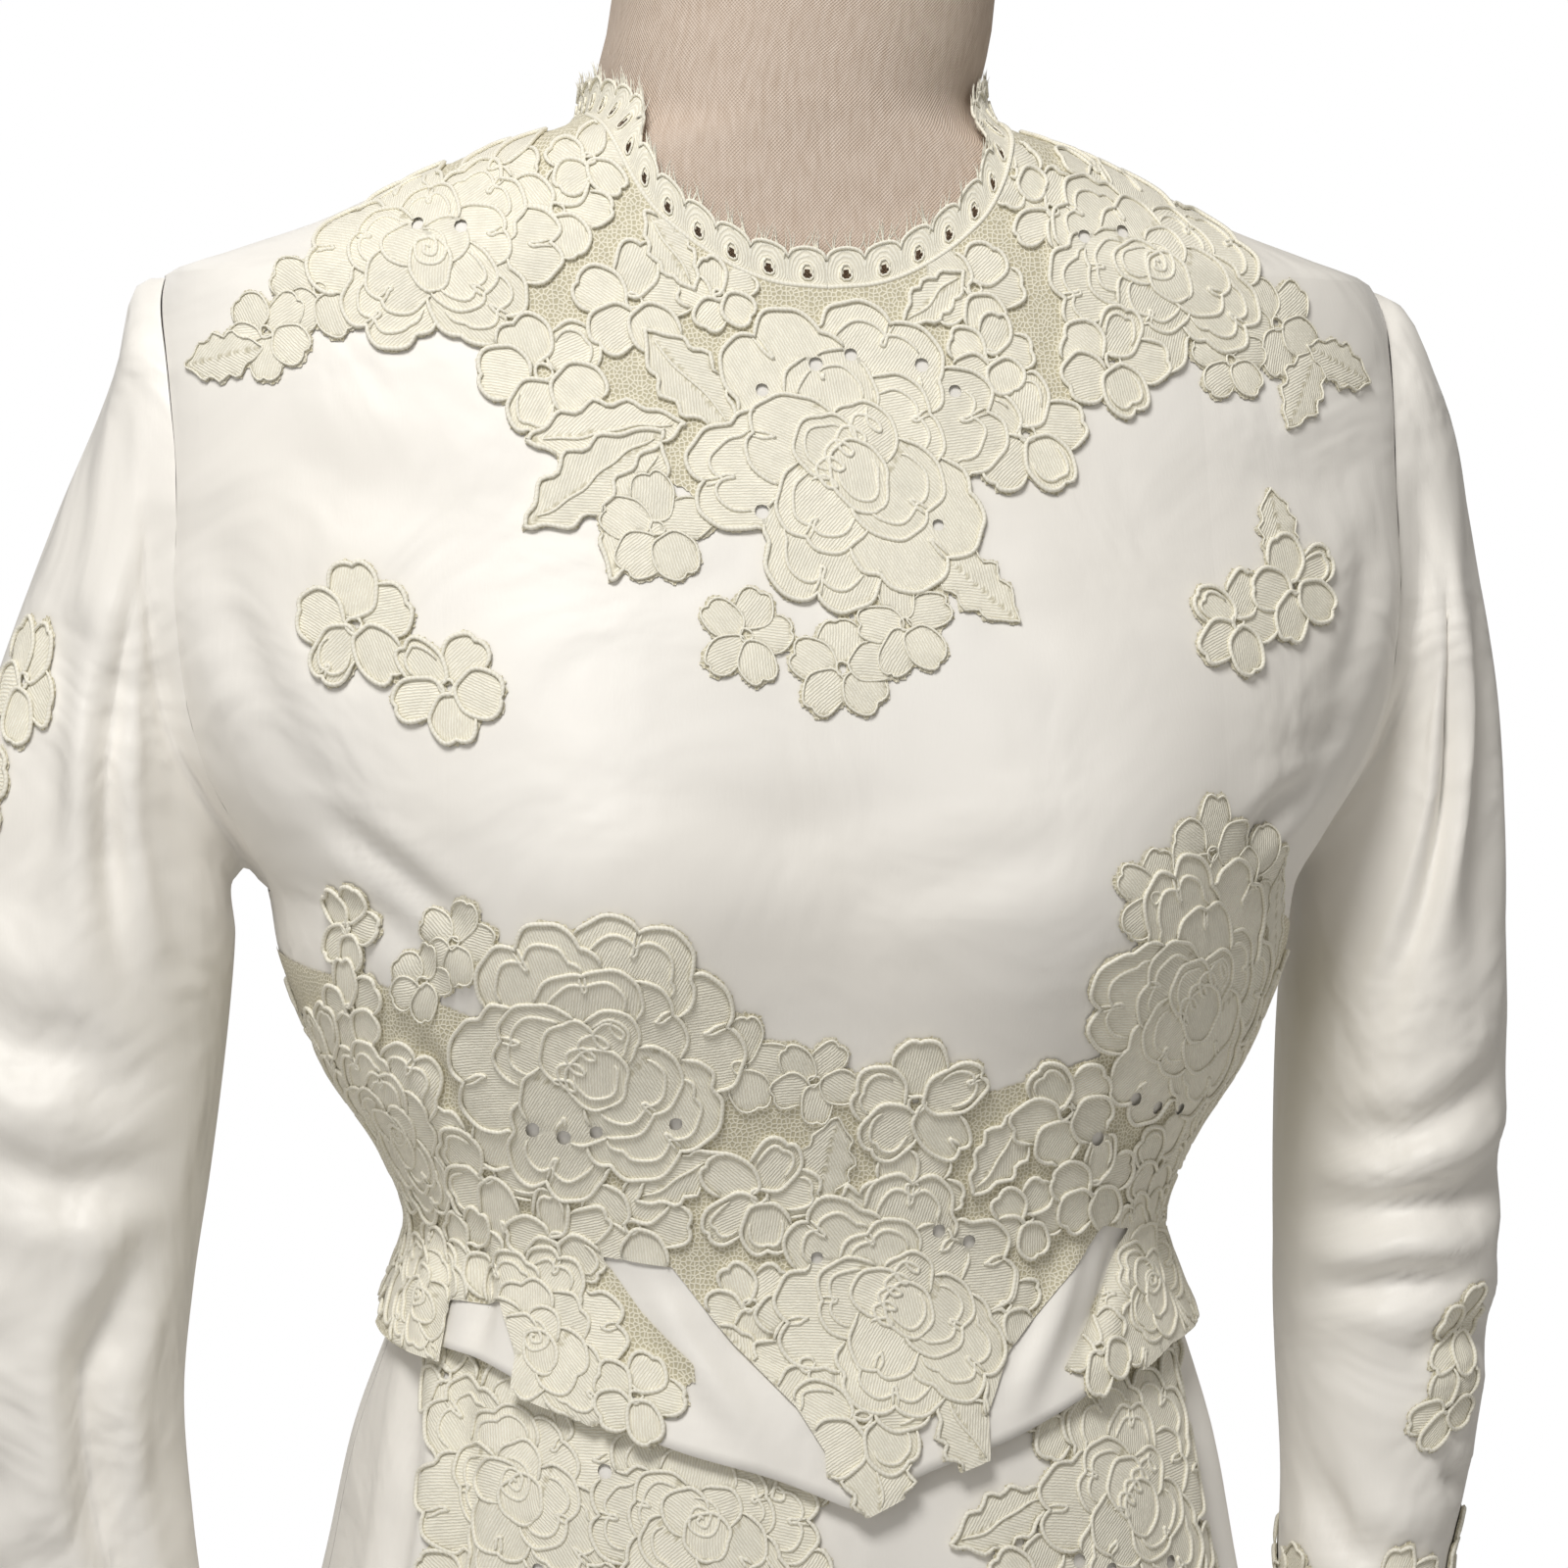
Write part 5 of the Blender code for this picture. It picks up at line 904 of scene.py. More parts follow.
# Lace motifs: kind, distance round, height, half width, half height, turn in degrees, corded or not
laceWork = {"lift": 0.55, "cordRadius": 0.74, "picotRadius": 0.36, "fineRadius": 0.62, "cordStep": 1.6,
            "echo": 0.70,
            "echoFrom": 8.5, "jitter": 0.12, "wander": 0.26, "overhang": 4.5, "cuffHeight": 166}
yoke = {
    "name": "laceYoke", "node": "lace_yoke", "cell": 1.0, "seed": 3,
    "motifs": [
        ("floret", -104, 1411, 17, 13, 0, 1), ("floret", 98, 1413, 16, 12, 30, 1),
        ("floret", -156, 1372, 18, 15, 10, 0), ("floret", -174, 1359, 16, 14, 50, 0),
               ("leaf", -190, 1352, 15, 7, 190, 0),
        ("floret", 151, 1364, 18, 16, 50, 0), ("floret", 132, 1352, 14, 13, 20, 0),
               ("leaf", 160, 1344, 15, 8, 60, 0),
        ("leaf", 178, 1352, 16, 7, 340, 0), ("floret", -82, 1396, 17, 15, 0, 1),
               ("floret", 74, 1398, 16, 14, 0, 1),
        ("rose", -122, 1384, 42, 28, 0, 1), ("rose", 108, 1382, 41, 31, 20, 1),
        ("floret", -88, 1346, 21, 19, 40, 1), ("floret", 90, 1351, 20, 17, 0, 1),
        ("leaf", -70, 1328, 24, 9, 186, 1), ("leaf", -74, 1314, 26, 10, 214, 1),
               ("leaf", -62, 1304, 22, 9, 248, 1), ("floret", -56, 1299, 17, 17, 20, 0),
        ("floret", -31, 1267, 14, 15, 0, 0), ("floret", -2, 1257, 17, 15, 90, 0),
               ("floret", 18, 1270, 14, 16, 30, 0),
        ("leaf", 40, 1283, 18, 8, 320, 0), ("floret", -60, 1368, 19, 18, 15, 1),
               ("floret", 46, 1373, 17, 15, 0, 1),
        ("floret", 60, 1328, 20, 19, 15, 1), ("leaf", -44, 1344, 20, 9, 130, 1),
               ("floret", -72, 1412, 15, 12, 20, 1), ("floret", 62, 1410, 13, 12, 40, 1),
        ("floret", -34, 1370, 14, 11, 30, 1), ("leaf", -48, 1384, 14, 6, 120, 1),
               ("floret", 50, 1352, 15, 13, 10, 1),
        ("leaf", 33, 1370, 13, 6, 40, 1), ("rose", 4, 1322, 47, 47, 10, 1),
    ],
    "ground": [[(-128, 1432), (-132, 1392), (-120, 1368), (-96, 1344), (-60, 1318), (0, 1290), (60, 1330),
                (108, 1366),
                (128, 1392), (124, 1432)]],
    "bare": [],
    "eyelets": [(-5, 1349, 2.2), (6, 1352, 2.0), (28, 1349, 2.2), (38, 1341, 2.0), (-22, 1341, 2.0),
                (-24, 1304, 2.2),
                (84, 1390, 2.1), (98, 1392, 2.0), (-112, 1391, 2.1), (-126, 1392, 2.0), (30, 1300, 1.8)],
}
girdle = {
    "name": "laceGirdle", "node": "lace_girdle", "cell": 1.05, "seed": 5,
    "motifs": [
        ("floret", -168, 1178, 13, 15, 0, 1), ("floret", -166, 1152, 16, 16, 30, 1),
               ("floret", -186, 1132, 21, 21, 0, 1), ("floret", -190, 1092, 20, 20, 40, 1),
        ("floret", -178, 1062, 20, 17, 10, 1), ("floret", 187, 1142, 20, 22, 0, 1),
               ("floret", 190, 1100, 20, 20, 0, 1),
        ("floret", 180, 1064, 20, 18, 20, 1), ("rose", -152, 1112, 33, 31, 0, 1),
               ("rose", 157, 1112, 33, 33, 10, 1),
        ("floret", -124, 1176, 15, 13, 0, 0), ("floret", -136, 1163, 12, 12, 0, 0),
               ("floret", 94, 1188, 15, 15, 10, 0),
        ("floret", 118, 1200, 20, 17, 90, 0), ("floret", 147, 1190, 18, 17, 20, 0),
               ("leaf", 166, 1176, 18, 8, 100, 0),
        ("floret", -34, 1139, 16, 15, 10, 0), ("floret", -11, 1134, 14, 13, 60, 0),
               ("leaf", -6, 1108, 15, 8, 80, 0),
        ("floret", -112, 1102, 22, 20, 0, 1), ("floret", -64, 1088, 19, 16, 0, 1),
               ("floret", -88, 1083, 19, 15, 30, 1),
        ("floret", 118, 1099, 20, 17, 0, 1), ("leaf", 50, 1110, 17, 8, 55, 1),
               ("floret", 60, 1087, 15, 13, 0, 1),
        ("leaf", -50, 1104, 15, 7, 30, 1), ("floret", -122, 1076, 16, 14, 0, 1),
               ("floret", 138, 1078, 16, 14, 0, 1),
        ("rose", -78, 1142, 46, 44, 10, 1), ("rose", 120, 1156, 45, 43, 0, 1),
               ("floret", 70, 1121, 19, 18, 50, 1),
        ("floret", 85, 1095, 18, 17, 18, 1), ("floret", 21, 1099, 17, 14, 270, 1),
               ("floret", -26, 1098, 19, 19, 0, 1),
        ("floret", 21, 1126, 22, 20, 90, 1), ("rose", -146, 1058, 24, 22, 30, 1),
               ("rose", 152, 1056, 24, 22, 0, 1),
        ("rose", -96, 1052, 30, 26, 10, 1), ("rose", 117, 1060, 27, 30, 0, 1),
               ("floret", -64, 1037, 15, 13, 0, 1),
        ("floret", 86, 1044, 14, 13, 40, 1), ("leaf", 37, 1024, 15, 9, 300, 1),
               ("leaf", 8, 1013, 15, 10, 268, 1),
        ("leaf", 3, 1088, 13, 7, 100, 1), ("floret", -28, 1064, 15, 13, 50, 1),
               ("leaf", -30, 1048, 13, 6, 310, 1),
        ("floret", 52, 1060, 13, 13, 20, 1), ("leaf", 50, 1038, 12, 6, 240, 1),
               ("floret", -12, 1046, 17, 15, 30, 1), ("floret", 4, 1030, 24, 17, 90, 1),
               ("rose", 17, 1066, 39, 36, 20, 1),
    ],
    "ground": [[(-240, 1165), (-150, 1160), (-40, 1134), (30, 1124), (90, 1140), (160, 1180), (240, 1160),
                (240, 1030),
                (110, 1040), (45, 1040), (4, 1020), (-30, 1045), (-110, 1030), (-240, 1030)]],
    "bare": [[(-74, 1078), (-62, 1062), (-46, 1046), (-44, 990), (-8, 990), (-8, 1021), (-16, 1034),
              (-34, 1052), (-52, 1075)],
             [(106, 1078), (88, 1058), (72, 1040), (63, 1026), (60, 990), (43, 1000), (44, 1030),
              (52, 1046), (72, 1064),
              (92, 1081)],
             [(-131, 1059), (-108, 1061), (-103, 1046), (-107, 1028), (-136, 1028)]],
    "eyelets": [(-96, 1118, 2.3), (-86, 1116, 2.3), (-76, 1118, 2.0), (97, 1123, 2.2), (108, 1119, 2.2),
                (121, 1117, 2.0),
                (84, 1111, 2.3), (30, 1085, 2.1), (40, 1081, 2.1), (-52, 1121, 2.0), (-8, 1078, 1.9)],
}
girdleBack = {
    "name": "laceGirdleBack", "node": "lace_girdle_back", "cell": 1.4, "seed": 8,
    "motifs": [
        ("floret", -190, 1136, 21, 22, 0, 1), ("floret", -186, 1096, 20, 20, 10, 1),
               ("floret", -178, 1062, 20, 18, 0, 1),
        ("floret", -112, 1150, 19, 17, 90, 0), ("floret", -38, 1136, 19, 18, 0, 0),
               ("floret", -112, 1110, 20, 18, 0, 1),
        ("floret", -46, 1098, 20, 18, 30, 1), ("floret", -112, 1072, 20, 17, 0, 1),
               ("floret", -76, 1084, 18, 16, 0, 1),
        ("floret", -18, 1068, 20, 18, 0, 1), ("floret", -14, 1136, 13, 12, 0, 0),
               ("floret", -46, 1060, 15, 14, 20, 1),
        ("rose", -150, 1140, 36, 34, 0, 1), ("rose", -76, 1128, 34, 31, 10, 1),
               ("rose", -148, 1078, 33, 30, 30, 1),
        ("rose", -18, 1106, 24, 26, 0, 1), ("rose", -80, 1056, 25, 20, 0, 1),
    ],
    "ground": [[(-240, 1148), (-150, 1150), (-60, 1132), (2, 1128), (2, 1030), (-240, 1030)]],
    "bare": [], "eyelets": [(-148, 1112, 2.2), (-136, 1111, 2.0), (-76, 1104, 2.1), (-64, 1106, 2.0)],
}
skirtLeft = {
    "name": "laceSkirtLeft", "node": "lace_skirt_left", "cell": 1.0, "seed": 11,
    "motifs": [
        ("leaf", -84, 896, 25, 9, 262, 1), ("floret", -124, 974, 16, 16, 0, 1),
               ("floret", -66, 922, 14, 13, 0, 1),
        ("floret", -98, 922, 18, 17, 0, 1), ("floret", -18, 978, 18, 16, 0, 1),
               ("floret", -22, 1008, 15, 14, 0, 1),
        ("floret", -50, 954, 20, 18, 50, 1), ("floret", -72, 1036, 18, 15, 0, 1),
               ("floret", -132, 1036, 16, 16, 0, 1),
        ("rose", -84, 958, 33, 31, 0, 1), ("rose", -104, 1009, 36, 34, 20, 1),
               ("rose", -45, 1001, 34, 32, 0, 1),
    ],
    "ground": [[(-126, 1060), (-40, 1060), (-36, 1000), (-72, 956), (-108, 985)]],
    "bare": [], "eyelets": [(-74, 1014, 2.2), (-96, 984, 2.2), (-84, 982, 2.0)],
}
skirtRight = {
    "name": "laceSkirtRight", "node": "lace_skirt_right", "cell": 1.0, "seed": 13,
    "motifs": [
        ("leaf", 94, 892, 25, 9, 278, 1), ("floret", 130, 968, 15, 16, 0, 1),
               ("floret", 66, 934, 13, 12, 0, 1),
        ("floret", 102, 918, 18, 17, 0, 1), ("leaf", 48, 997, 18, 8, 200, 1),
               ("floret", 58, 976, 17, 16, 0, 1),
        ("floret", 70, 1027, 16, 15, 30, 1), ("floret", 131, 1036, 16, 15, 0, 1),
               ("rose", 90, 951, 32, 31, 10, 1),
        ("rose", 99, 1000, 37, 36, 0, 1),
    ],
    "ground": [[(72, 1060), (128, 1060), (120, 990), (92, 950), (72, 975), (68, 1000)]],
    "bare": [], "eyelets": [(74, 982, 2.2), (86, 978, 2.0), (112, 976, 2.0)],
}
sprigs = [
    {"name": "laceSprigLeft", "node": "lace_sprig_left", "cell": 0.9, "seed": 17, "ground": [], "bare": [],
     "eyelets": [],
     "motifs": [("floret", -149, 1270, 20, 19, 20, 1), ("floret", -121, 1252, 18, 17, 60, 1)]},
    {"name": "laceSprigRight", "node": "lace_sprig_right", "cell": 0.9, "seed": 19, "ground": [],
     "bare": [], "eyelets": [],
     "motifs": [("leaf", 146, 1299, 13, 7, 100, 0), ("floret", 128, 1270, 17, 16, 0, 1),
                ("floret", 152, 1281, 18, 17, 40, 1)]},
]
sleeveSprigs = {
    "Right": {"name": "laceSleeveRight", "node": "lace_sleeve_right", "cell": 0.9, "seed": 23, "ground": [],
              "bare": [],
              "eyelets": [], "motifs": [("floret", -50, -284, 14, 13, 40, 1),
                                        ("floret", -46, -262, 14, 14, 0, 1)]},
    "Left": {"name": "laceSleeveLeft", "node": "lace_sleeve_left", "cell": 0.9, "seed": 29, "ground": [],
             "bare": [],
             "eyelets": [], "motifs": [("floret", 26, -112, 15, 15, 40, 1),
                                       ("floret", 34, -84, 14, 14, 0, 1)]},
}


# Cuff: three bands of roses with florets between, from a little below the elbow to the wrist; each band is
# a row of equal motifs, turned a little more from one to the next
def cuffPiece(name, top):
    motifs = [("floret", at, top - 12 - 3 * (k % 2), 17, 15, 20 * k, 1) for k,
              at in enumerate((-96, -52, -10, 34, 76, 112))]
    motifs += [("rose", at, top - 40 - 5 * (k % 2), 27, 26, 15 * k, 1) for k,
               at in enumerate((-78, -28, 24, 74))]
    motifs += [("floret", at, top - 72, 18, 16, 25 * k, 1) for k, at in enumerate((-96, -50, -4, 48, 94))]
    motifs += [("rose", at, top - 98, 27, 25, 10 * k, 1) for k, at in enumerate((-72, -24, 26, 74))]
    motifs += [("floret", at, top - 126, 17, 15, 30 * k, 1) for k, at in enumerate((-92, -48, -2, 44, 90))]
    motifs += [("rose", at, top - 148, 25, 20, 20 * k, 1) for k, at in enumerate((-68, -22, 22, 66))]
    return {"name": name, "cell": 1.55, "seed": 31, "motifs": motifs, "bare": [], "eyelets": [],
            "ground": [[(-130, top - 16), (130, top - 16), (130, top - 200), (-130, top - 200)]]}


# Flower rings: petals in the ring, place out, half length, half width, notch count, notch phase, depth
flowerRings = {
    "rose": [(6, 0.58, 0.43, 0.45, 5, math.pi / 2, 0.25), (5, 0.34, 0.32, 0.33, 3, math.pi / 2, 0.22),
             (3, 0.14, 0.22, 0.21, 3, 0.0, 0.10)],
    "floret": [(5, 0.54, 0.47, 0.39, 3, math.pi / 2, 0.22)],
}


# Petals of one motif, in the order in which they lie: out from its centre at equal turns, a little uneven
def motifPetals(motif, random):
    kind, u, v, across, up, turn, corded = motif
    size = math.sqrt(across * up)
    if kind == "leaf":
        return [{"u": u, "v": v, "aim": math.radians(turn), "length": across, "width": up, "leaf": True,
                 "lobes": 0, "phase": 0, "notch": 0, "corded": corded, "tone": random.uniform(0.95, 1.02),
                 "ring": 0}]
    petals = []
    for ring, (count, out, length, width, lobes, phase, notch) in enumerate(flowerRings[kind]):
        for at in range(count):
            angle = math.radians(turn) + at * fullTurn / count + random.uniform(-0.1, 0.1) + 0.35 * ring
            grow = 1 + random.uniform(-laceWork["jitter"], laceWork["jitter"])
            petals.append({
                "u": u + out * across * math.cos(angle), "v": v + out * up * math.sin(angle),
                "aim": math.atan2(up * math.sin(angle),
                                  across * math.cos(angle)) + random.uniform(-0.12, 0.12),
                "length": length * size * grow, "width": width * size * (2 - grow), "leaf": False,
                           "lobes": lobes,
                "phase": phase, "notch": notch, "corded": corded, "tone": random.uniform(0.94, 1.03),
                           "ring": ring})
    return petals


# Petal edge in polar form: an ellipse a little longer at its tip, less notches where a cosine passes zero
def petalReach(petal, theta):
    tip = np.clip(np.cos(theta), 0, 1) ** 0.5
    dip = (1 - np.abs(np.cos(petal["lobes"] * theta / 2 + petal["phase"]))) ** 1.6
    return (1 + 0.10 * np.cos(theta)) * (1 - petal["notch"] * tip * dip)


# How far inside a petal a place is, with its place along and across the petal
def petalField(petal, u, v):
    du, dv = u - petal["u"], v - petal["v"]
    c, s = math.cos(petal["aim"]), math.sin(petal["aim"])
    along, across = du * c + dv * s, dv * c - du * s
    if petal["leaf"]:
        share = np.clip(along / petal["length"], -1, 1)
        edge = petal["width"] * (1 - share**2) * (1 + 0.16 * np.sin(14 * share))
        return np.minimum(edge - np.abs(across), petal["length"] - np.abs(along)), along, across
    a, b = along / petal["length"], across / petal["width"]
    field = (petalReach(petal, np.arctan2(b, a)) - np.hypot(a, b)) * min(petal["length"], petal["width"])
    return field, along, across


# A place along and across a motif, turned by its aim and moved to its centre
def turnedPlace(u, v, aim, along, across):
    c, s = math.cos(aim), math.sin(aim)
    return u + along * c - across * s, v + along * s + across * c


# Points of a petal's edge, scaled: its polar form from a start to an end, or a leaf's two toothed sides
def petalOutline(petal, scale=1.0, start=0.0, end=fullTurn):
    count = max(12, int((end - start) * scale * (petal["length"] + petal["width"]) / 2 * 1.15 / laceWork["cordStep"]))
    if petal["leaf"]:
        share = np.cos(np.linspace(0, fullTurn, count))
        side = np.sign(np.sin(np.linspace(0, fullTurn, count)) + 1e-9)
        a = share * petal["length"] * scale
        b = side * petal["width"] * scale * (1 - share**2) * (1 + 0.16 * np.sin(14 * share))
    else:
        theta = np.linspace(start, end, count)
        reach = petalReach(petal, theta) * scale
        a, b = reach * petal["length"] * np.cos(theta), reach * petal["width"] * np.sin(theta)
    return turnedPlace(petal["u"], petal["v"], petal["aim"], a, b)


# Signed distance to a polygon: nearest side, inside counted by sides crossed to the right
def polygonField(outline, u, v):
    nearest, crossings = np.full(u.shape, 1e9), np.zeros(u.shape, int)
    for (u0, v0), (u1, v1) in zip(outline, outline[1:] + outline[:1]):
        length2 = (u1 - u0) ** 2 + (v1 - v0) ** 2
        t = np.clip(((u - u0) * (u1 - u0) + (v - v0) * (v1 - v0)) / length2, 0, 1)
        nearest = np.minimum(nearest, np.hypot(u - u0 - t * (u1 - u0), v - v0 - t * (v1 - v0)))
        if v0 != v1:
            spans = (v0 > v) != (v1 > v)
            crossings += spans & (u < u0 + (v - v0) / (v1 - v0) * (u1 - u0))
    return np.where(crossings % 2 == 1, nearest, -nearest)


# What limits every piece on a panel: its bare places, eyelets and the panel's own edges
def limitField(piece, clip, u, v):
    field = clip(u, v)
    for outline in piece["bare"]:
        field = np.minimum(field, -polygonField(outline, u, v))
    for eu, ev, radius in piece["eyelets"]:
        field = np.minimum(field, np.hypot(u - eu, v - ev) - radius)
    return field


# Lace sheet: a fine plan grid whose cells are kept where petals or net lie, its border moved onto
# their outline, whose rim is a little uneven; petals rise over the net and each over the one before
def layLace(piece, chart, clip):
    random = np.random.default_rng(piece["seed"])
    petals = [petal for motif in piece["motifs"] for petal in motifPetals(motif, random)]
    cell = piece["cell"]
    lowU, highU = min(p["u"] - p["length"] for p in petals) - 3, max(p["u"] + p["length"] for p in petals) + 3
    lowV, highV = min(p["v"] - p["length"] for p in petals) - 3, max(p["v"] + p["length"] for p in petals) + 3
    for outline in piece["ground"]:
        lowU, highU = min(lowU, min(p[0] for p in outline)), max(highU, max(p[0] for p in outline))
        lowV, highV = min(lowV, min(p[1] for p in outline)), max(highV, max(p[1] for p in outline))
    us = np.arange(max(lowU, chart["us"][0]), min(highU, chart["us"][-1]), cell)
    vs = np.arange(max(lowV, chart["vs"][0]), min(highV, chart["vs"][-1]), cell)
    u, v = np.meshgrid(us, vs)
    field, fill, tone, hole = np.full(u.shape, -1e3), 0 * u, 0 * u + 1, 0 * u
    phase, lift = 0.7 * u + 0.5 * v, 0 * u
    for outline in piece["ground"]:
        field = np.maximum(field, polygonField(outline, u, v))
    for petal in petals:
        reach = 1.25 * max(petal["length"], petal["width"])
        c0, c1 = np.searchsorted(us, (petal["u"] - reach, petal["u"] + reach))
        r0, r1 = np.searchsorted(vs, (petal["v"] - reach, petal["v"] + reach))
        if c1 <= c0 or r1 <= r0:
            continue
        box = (slice(r0, r1), slice(c0, c1))
        inside, along, across = petalField(petal, u[box], v[box])
        field[box] = np.maximum(field[box], inside)
        within = inside > 0
        edge = 1 - np.exp(-np.maximum(inside, 0) / 1.3)
        fill[box] = np.where(within, 1, fill[box])
        # A petal's random tone, darker by up to 5% towards its edge as painted shade
        tone[box] = np.where(within, petal["tone"] * (0.95 + 0.05 * edge), tone[box])
        lift[box] = np.where(within, 0.25 + 0.45 * edge + 0.12 * petal["ring"], lift[box])
        if petal["leaf"]:
            phase[box] = np.where(within, 0.8 * np.abs(across) + 0.6 * along, phase[box])
            vein = (np.abs(across) < 0.7) & (np.sin(along * fullTurn / 3.4) > -0.2)
            hole[box] = np.where(within, vein, hole[box])
        else:
            bend = 0.5 * np.sin(along / petal["length"] * 2.2)
            phase[box] = np.where(within, across + bend + 0.15 * along, phase[box])
            spots = (np.abs(along + 0.25 * petal["length"]) < 1.1) & (np.sin(across * fullTurn / 3.2) > 0.1)
            hole[box] = np.where(within, spots & (petal["ring"] == 1), hole[box])
    waves = np.sin(2.0 * u + 1.4 * np.sin(1.1 * v)), np.sin(2.2 * v + 1.2 * np.sin(0.9 * u))
    picot = 0.75 + 0.5 * waves[0] * waves[1]
    field = np.minimum(field + picot, limitField(piece, clip, u, v))
    middle = (field[:-1, :-1] + field[1:, :-1] + field[:-1, 1:] + field[1:, 1:]) / 4
    kept = middle > 0
    quads = gridQuads(*u.shape)[kept.ravel()]
    around = np.zeros(u.shape, int)
    for dr in (0, 1):
        for dc in (0, 1):
            around[dr:dr + kept.shape[0], dc:dc + kept.shape[1]] += kept
    border = (around > 0) & (around < 4)
    gv, gu = np.gradient(field, cell)
    steep = np.maximum(gu**2 + gv**2, 0.2)
    u = u + np.where(border, np.clip(-field * gu / steep, -0.6 * cell, 0.6 * cell), 0)
    v = v + np.where(border, np.clip(-field * gv / steep, -0.6 * cell, 0.6 * cell), 0)
    used = np.unique(quads)
    index = np.zeros(u.size, int)
    index[used] = np.arange(len(used))
    flatU, flatV = u.ravel()[used], v.ravel()[used]
    points = onChart(chart, flatU, flatV, laceWork["lift"] + lift.ravel()[used])[0]
    attributes = {"plan": np.stack([flatU, flatV, phase.ravel()[used]], axis=1),
                  "work": np.stack([fill.ravel()[used], tone.ravel()[used], hole.ravel()[used]], axis=1)}
    return petals, points, index[quads], attributes


# Runs of a line's points where they show, at least four long; a closed line starts where it is hidden
def visibleRuns(shown, closed):
    order = np.arange(len(shown))
    if closed and shown.all():
        return [np.concatenate([order, order[:2]])]
    if closed:
        order = np.roll(order, -int(np.argmin(shown)))
    shown = shown[order]
    edges = np.flatnonzero(np.diff(np.concatenate([[0], shown.astype(int), [0]])))
    return [order[a:b] for a, b in zip(edges[::2], edges[1::2]) if b - a >= 4]


# Cords: round every corded petal where no later petal covers it, echoed inside two long petals of three,
# with a hairpin down each notch of a wide petal and a coil, a row of loops or a ring in each flower's heart
def layCords(piece, chart, clip, petals):
    lines = []
    reach = np.array([1.2 * max(p["length"], p["width"]) for p in petals])
    centre = np.array([(p["u"], p["v"]) for p in petals])

    # A cord on the cloth: its visible runs, thinned at their ends and wandering by a sine
    def addLine(u, v, order, radius, closed):
        shown = limitField(piece, clip, u, v) > 0.3
        low, high = (u.min(), v.min()), (u.max(), v.max())
        for later in range(order + 1, len(petals)):
            pu, pv, r = *centre[later], reach[later]
            if pu + r < low[0] or pu - r > high[0] or pv + r < low[1] or pv - r > high[1]:
                continue
            shown &= petalField(petals[later], u, v)[0] < 0.25
        for run in visibleRuns(shown, closed):
            ru, rv = u[run], v[run]
            ends = np.minimum(np.arange(len(run)), np.arange(len(run))[::-1])
            girth = radius * np.clip(0.45 + 0.28 * ends, 0, 1)
            wander = laceWork["wander"] * np.sin(np.arange(len(run)) * 0.9 + order)
            points, normals = onChart(chart, ru + wander, rv - wander,
                                      laceWork["lift"] + 0.62 + 0.55 * radius)
            lines.append({"points": points, "normals": normals, "radius": girth})

    for order, petal in enumerate(petals):
        radius = laceWork["cordRadius"] * (0.9 if petal["ring"] else 1.0)
        if not petal["corded"]:
            radius = laceWork["picotRadius"]
        u, v = petalOutline(petal)
        addLine(u[:-1], v[:-1], order, radius, True)
        if not petal["corded"]:
            continue
        if petal["leaf"]:
            share = np.linspace(-0.85, 0.8, max(8, int(1.6 * petal["length"] / laceWork["cordStep"])))
            bow = 0.10 * petal["width"] * np.sin(share * 4)
            vein = turnedPlace(petal["u"], petal["v"], petal["aim"], share * petal["length"], bow)
            addLine(*vein, order, 0.5, False)
        elif order % 3 != 1 and petal["length"] > laceWork["echoFrom"]:
            addLine(*petalOutline(petal, laceWork["echo"], -1.9, 1.9), order, laceWork["fineRadius"], False)
        if petal["notch"] > 0.16 and petal["length"] > 10:
            for notchAt in ((-math.pi / 3, math.pi / 3) if petal["phase"] == 0 else (0.0,)):
                rim = float(petalReach(petal, np.array(notchAt)))
                t = np.linspace(0, 1, 16)
                down = rim - 0.40 * np.sin(np.pi * t) ** 0.8
                aside = 0.85 * np.cos(np.pi * t)
                a = down * petal["length"] * math.cos(notchAt) - aside * math.sin(notchAt)
                b = down * petal["width"] * math.sin(notchAt) + aside * math.cos(notchAt)
                hairpin = turnedPlace(petal["u"], petal["v"], petal["aim"], a, b)
                addLine(*hairpin, order, laceWork["fineRadius"], False)
    for kind, mu, mv, across, up, turn, corded in piece["motifs"]:
        size = math.sqrt(across * up)
        if kind == "rose" and size > 36:
            t = np.linspace(0, 5 * fullTurn, 110)
            a = (t / (5 * fullTurn) - 0.5) * 0.62 * size + 0.055 * size * np.sin(t)
            b = 0.085 * size * np.cos(t) + 0.06 * size * np.sin(t / 10)
            addLine(*turnedPlace(mu, mv, math.radians(turn + 40), a, b), len(petals), 0.66, False)
        elif kind == "rose":
            t = np.linspace(0.6, 2.3 * fullTurn, 46)
            coil = mu + 0.013 * size * t * np.cos(t), mv + 0.013 * size * t * np.sin(t)
            addLine(*coil, len(petals), 0.6, False)
        elif kind == "floret":
            t = np.linspace(0, fullTurn, 17)[:-1]
            radius = laceWork["fineRadius" if corded else "picotRadius"]
            addLine(mu + 0.13 * size * np.cos(t), mv + 0.13 * size * np.sin(t), len(petals), radius, True)
    return lines


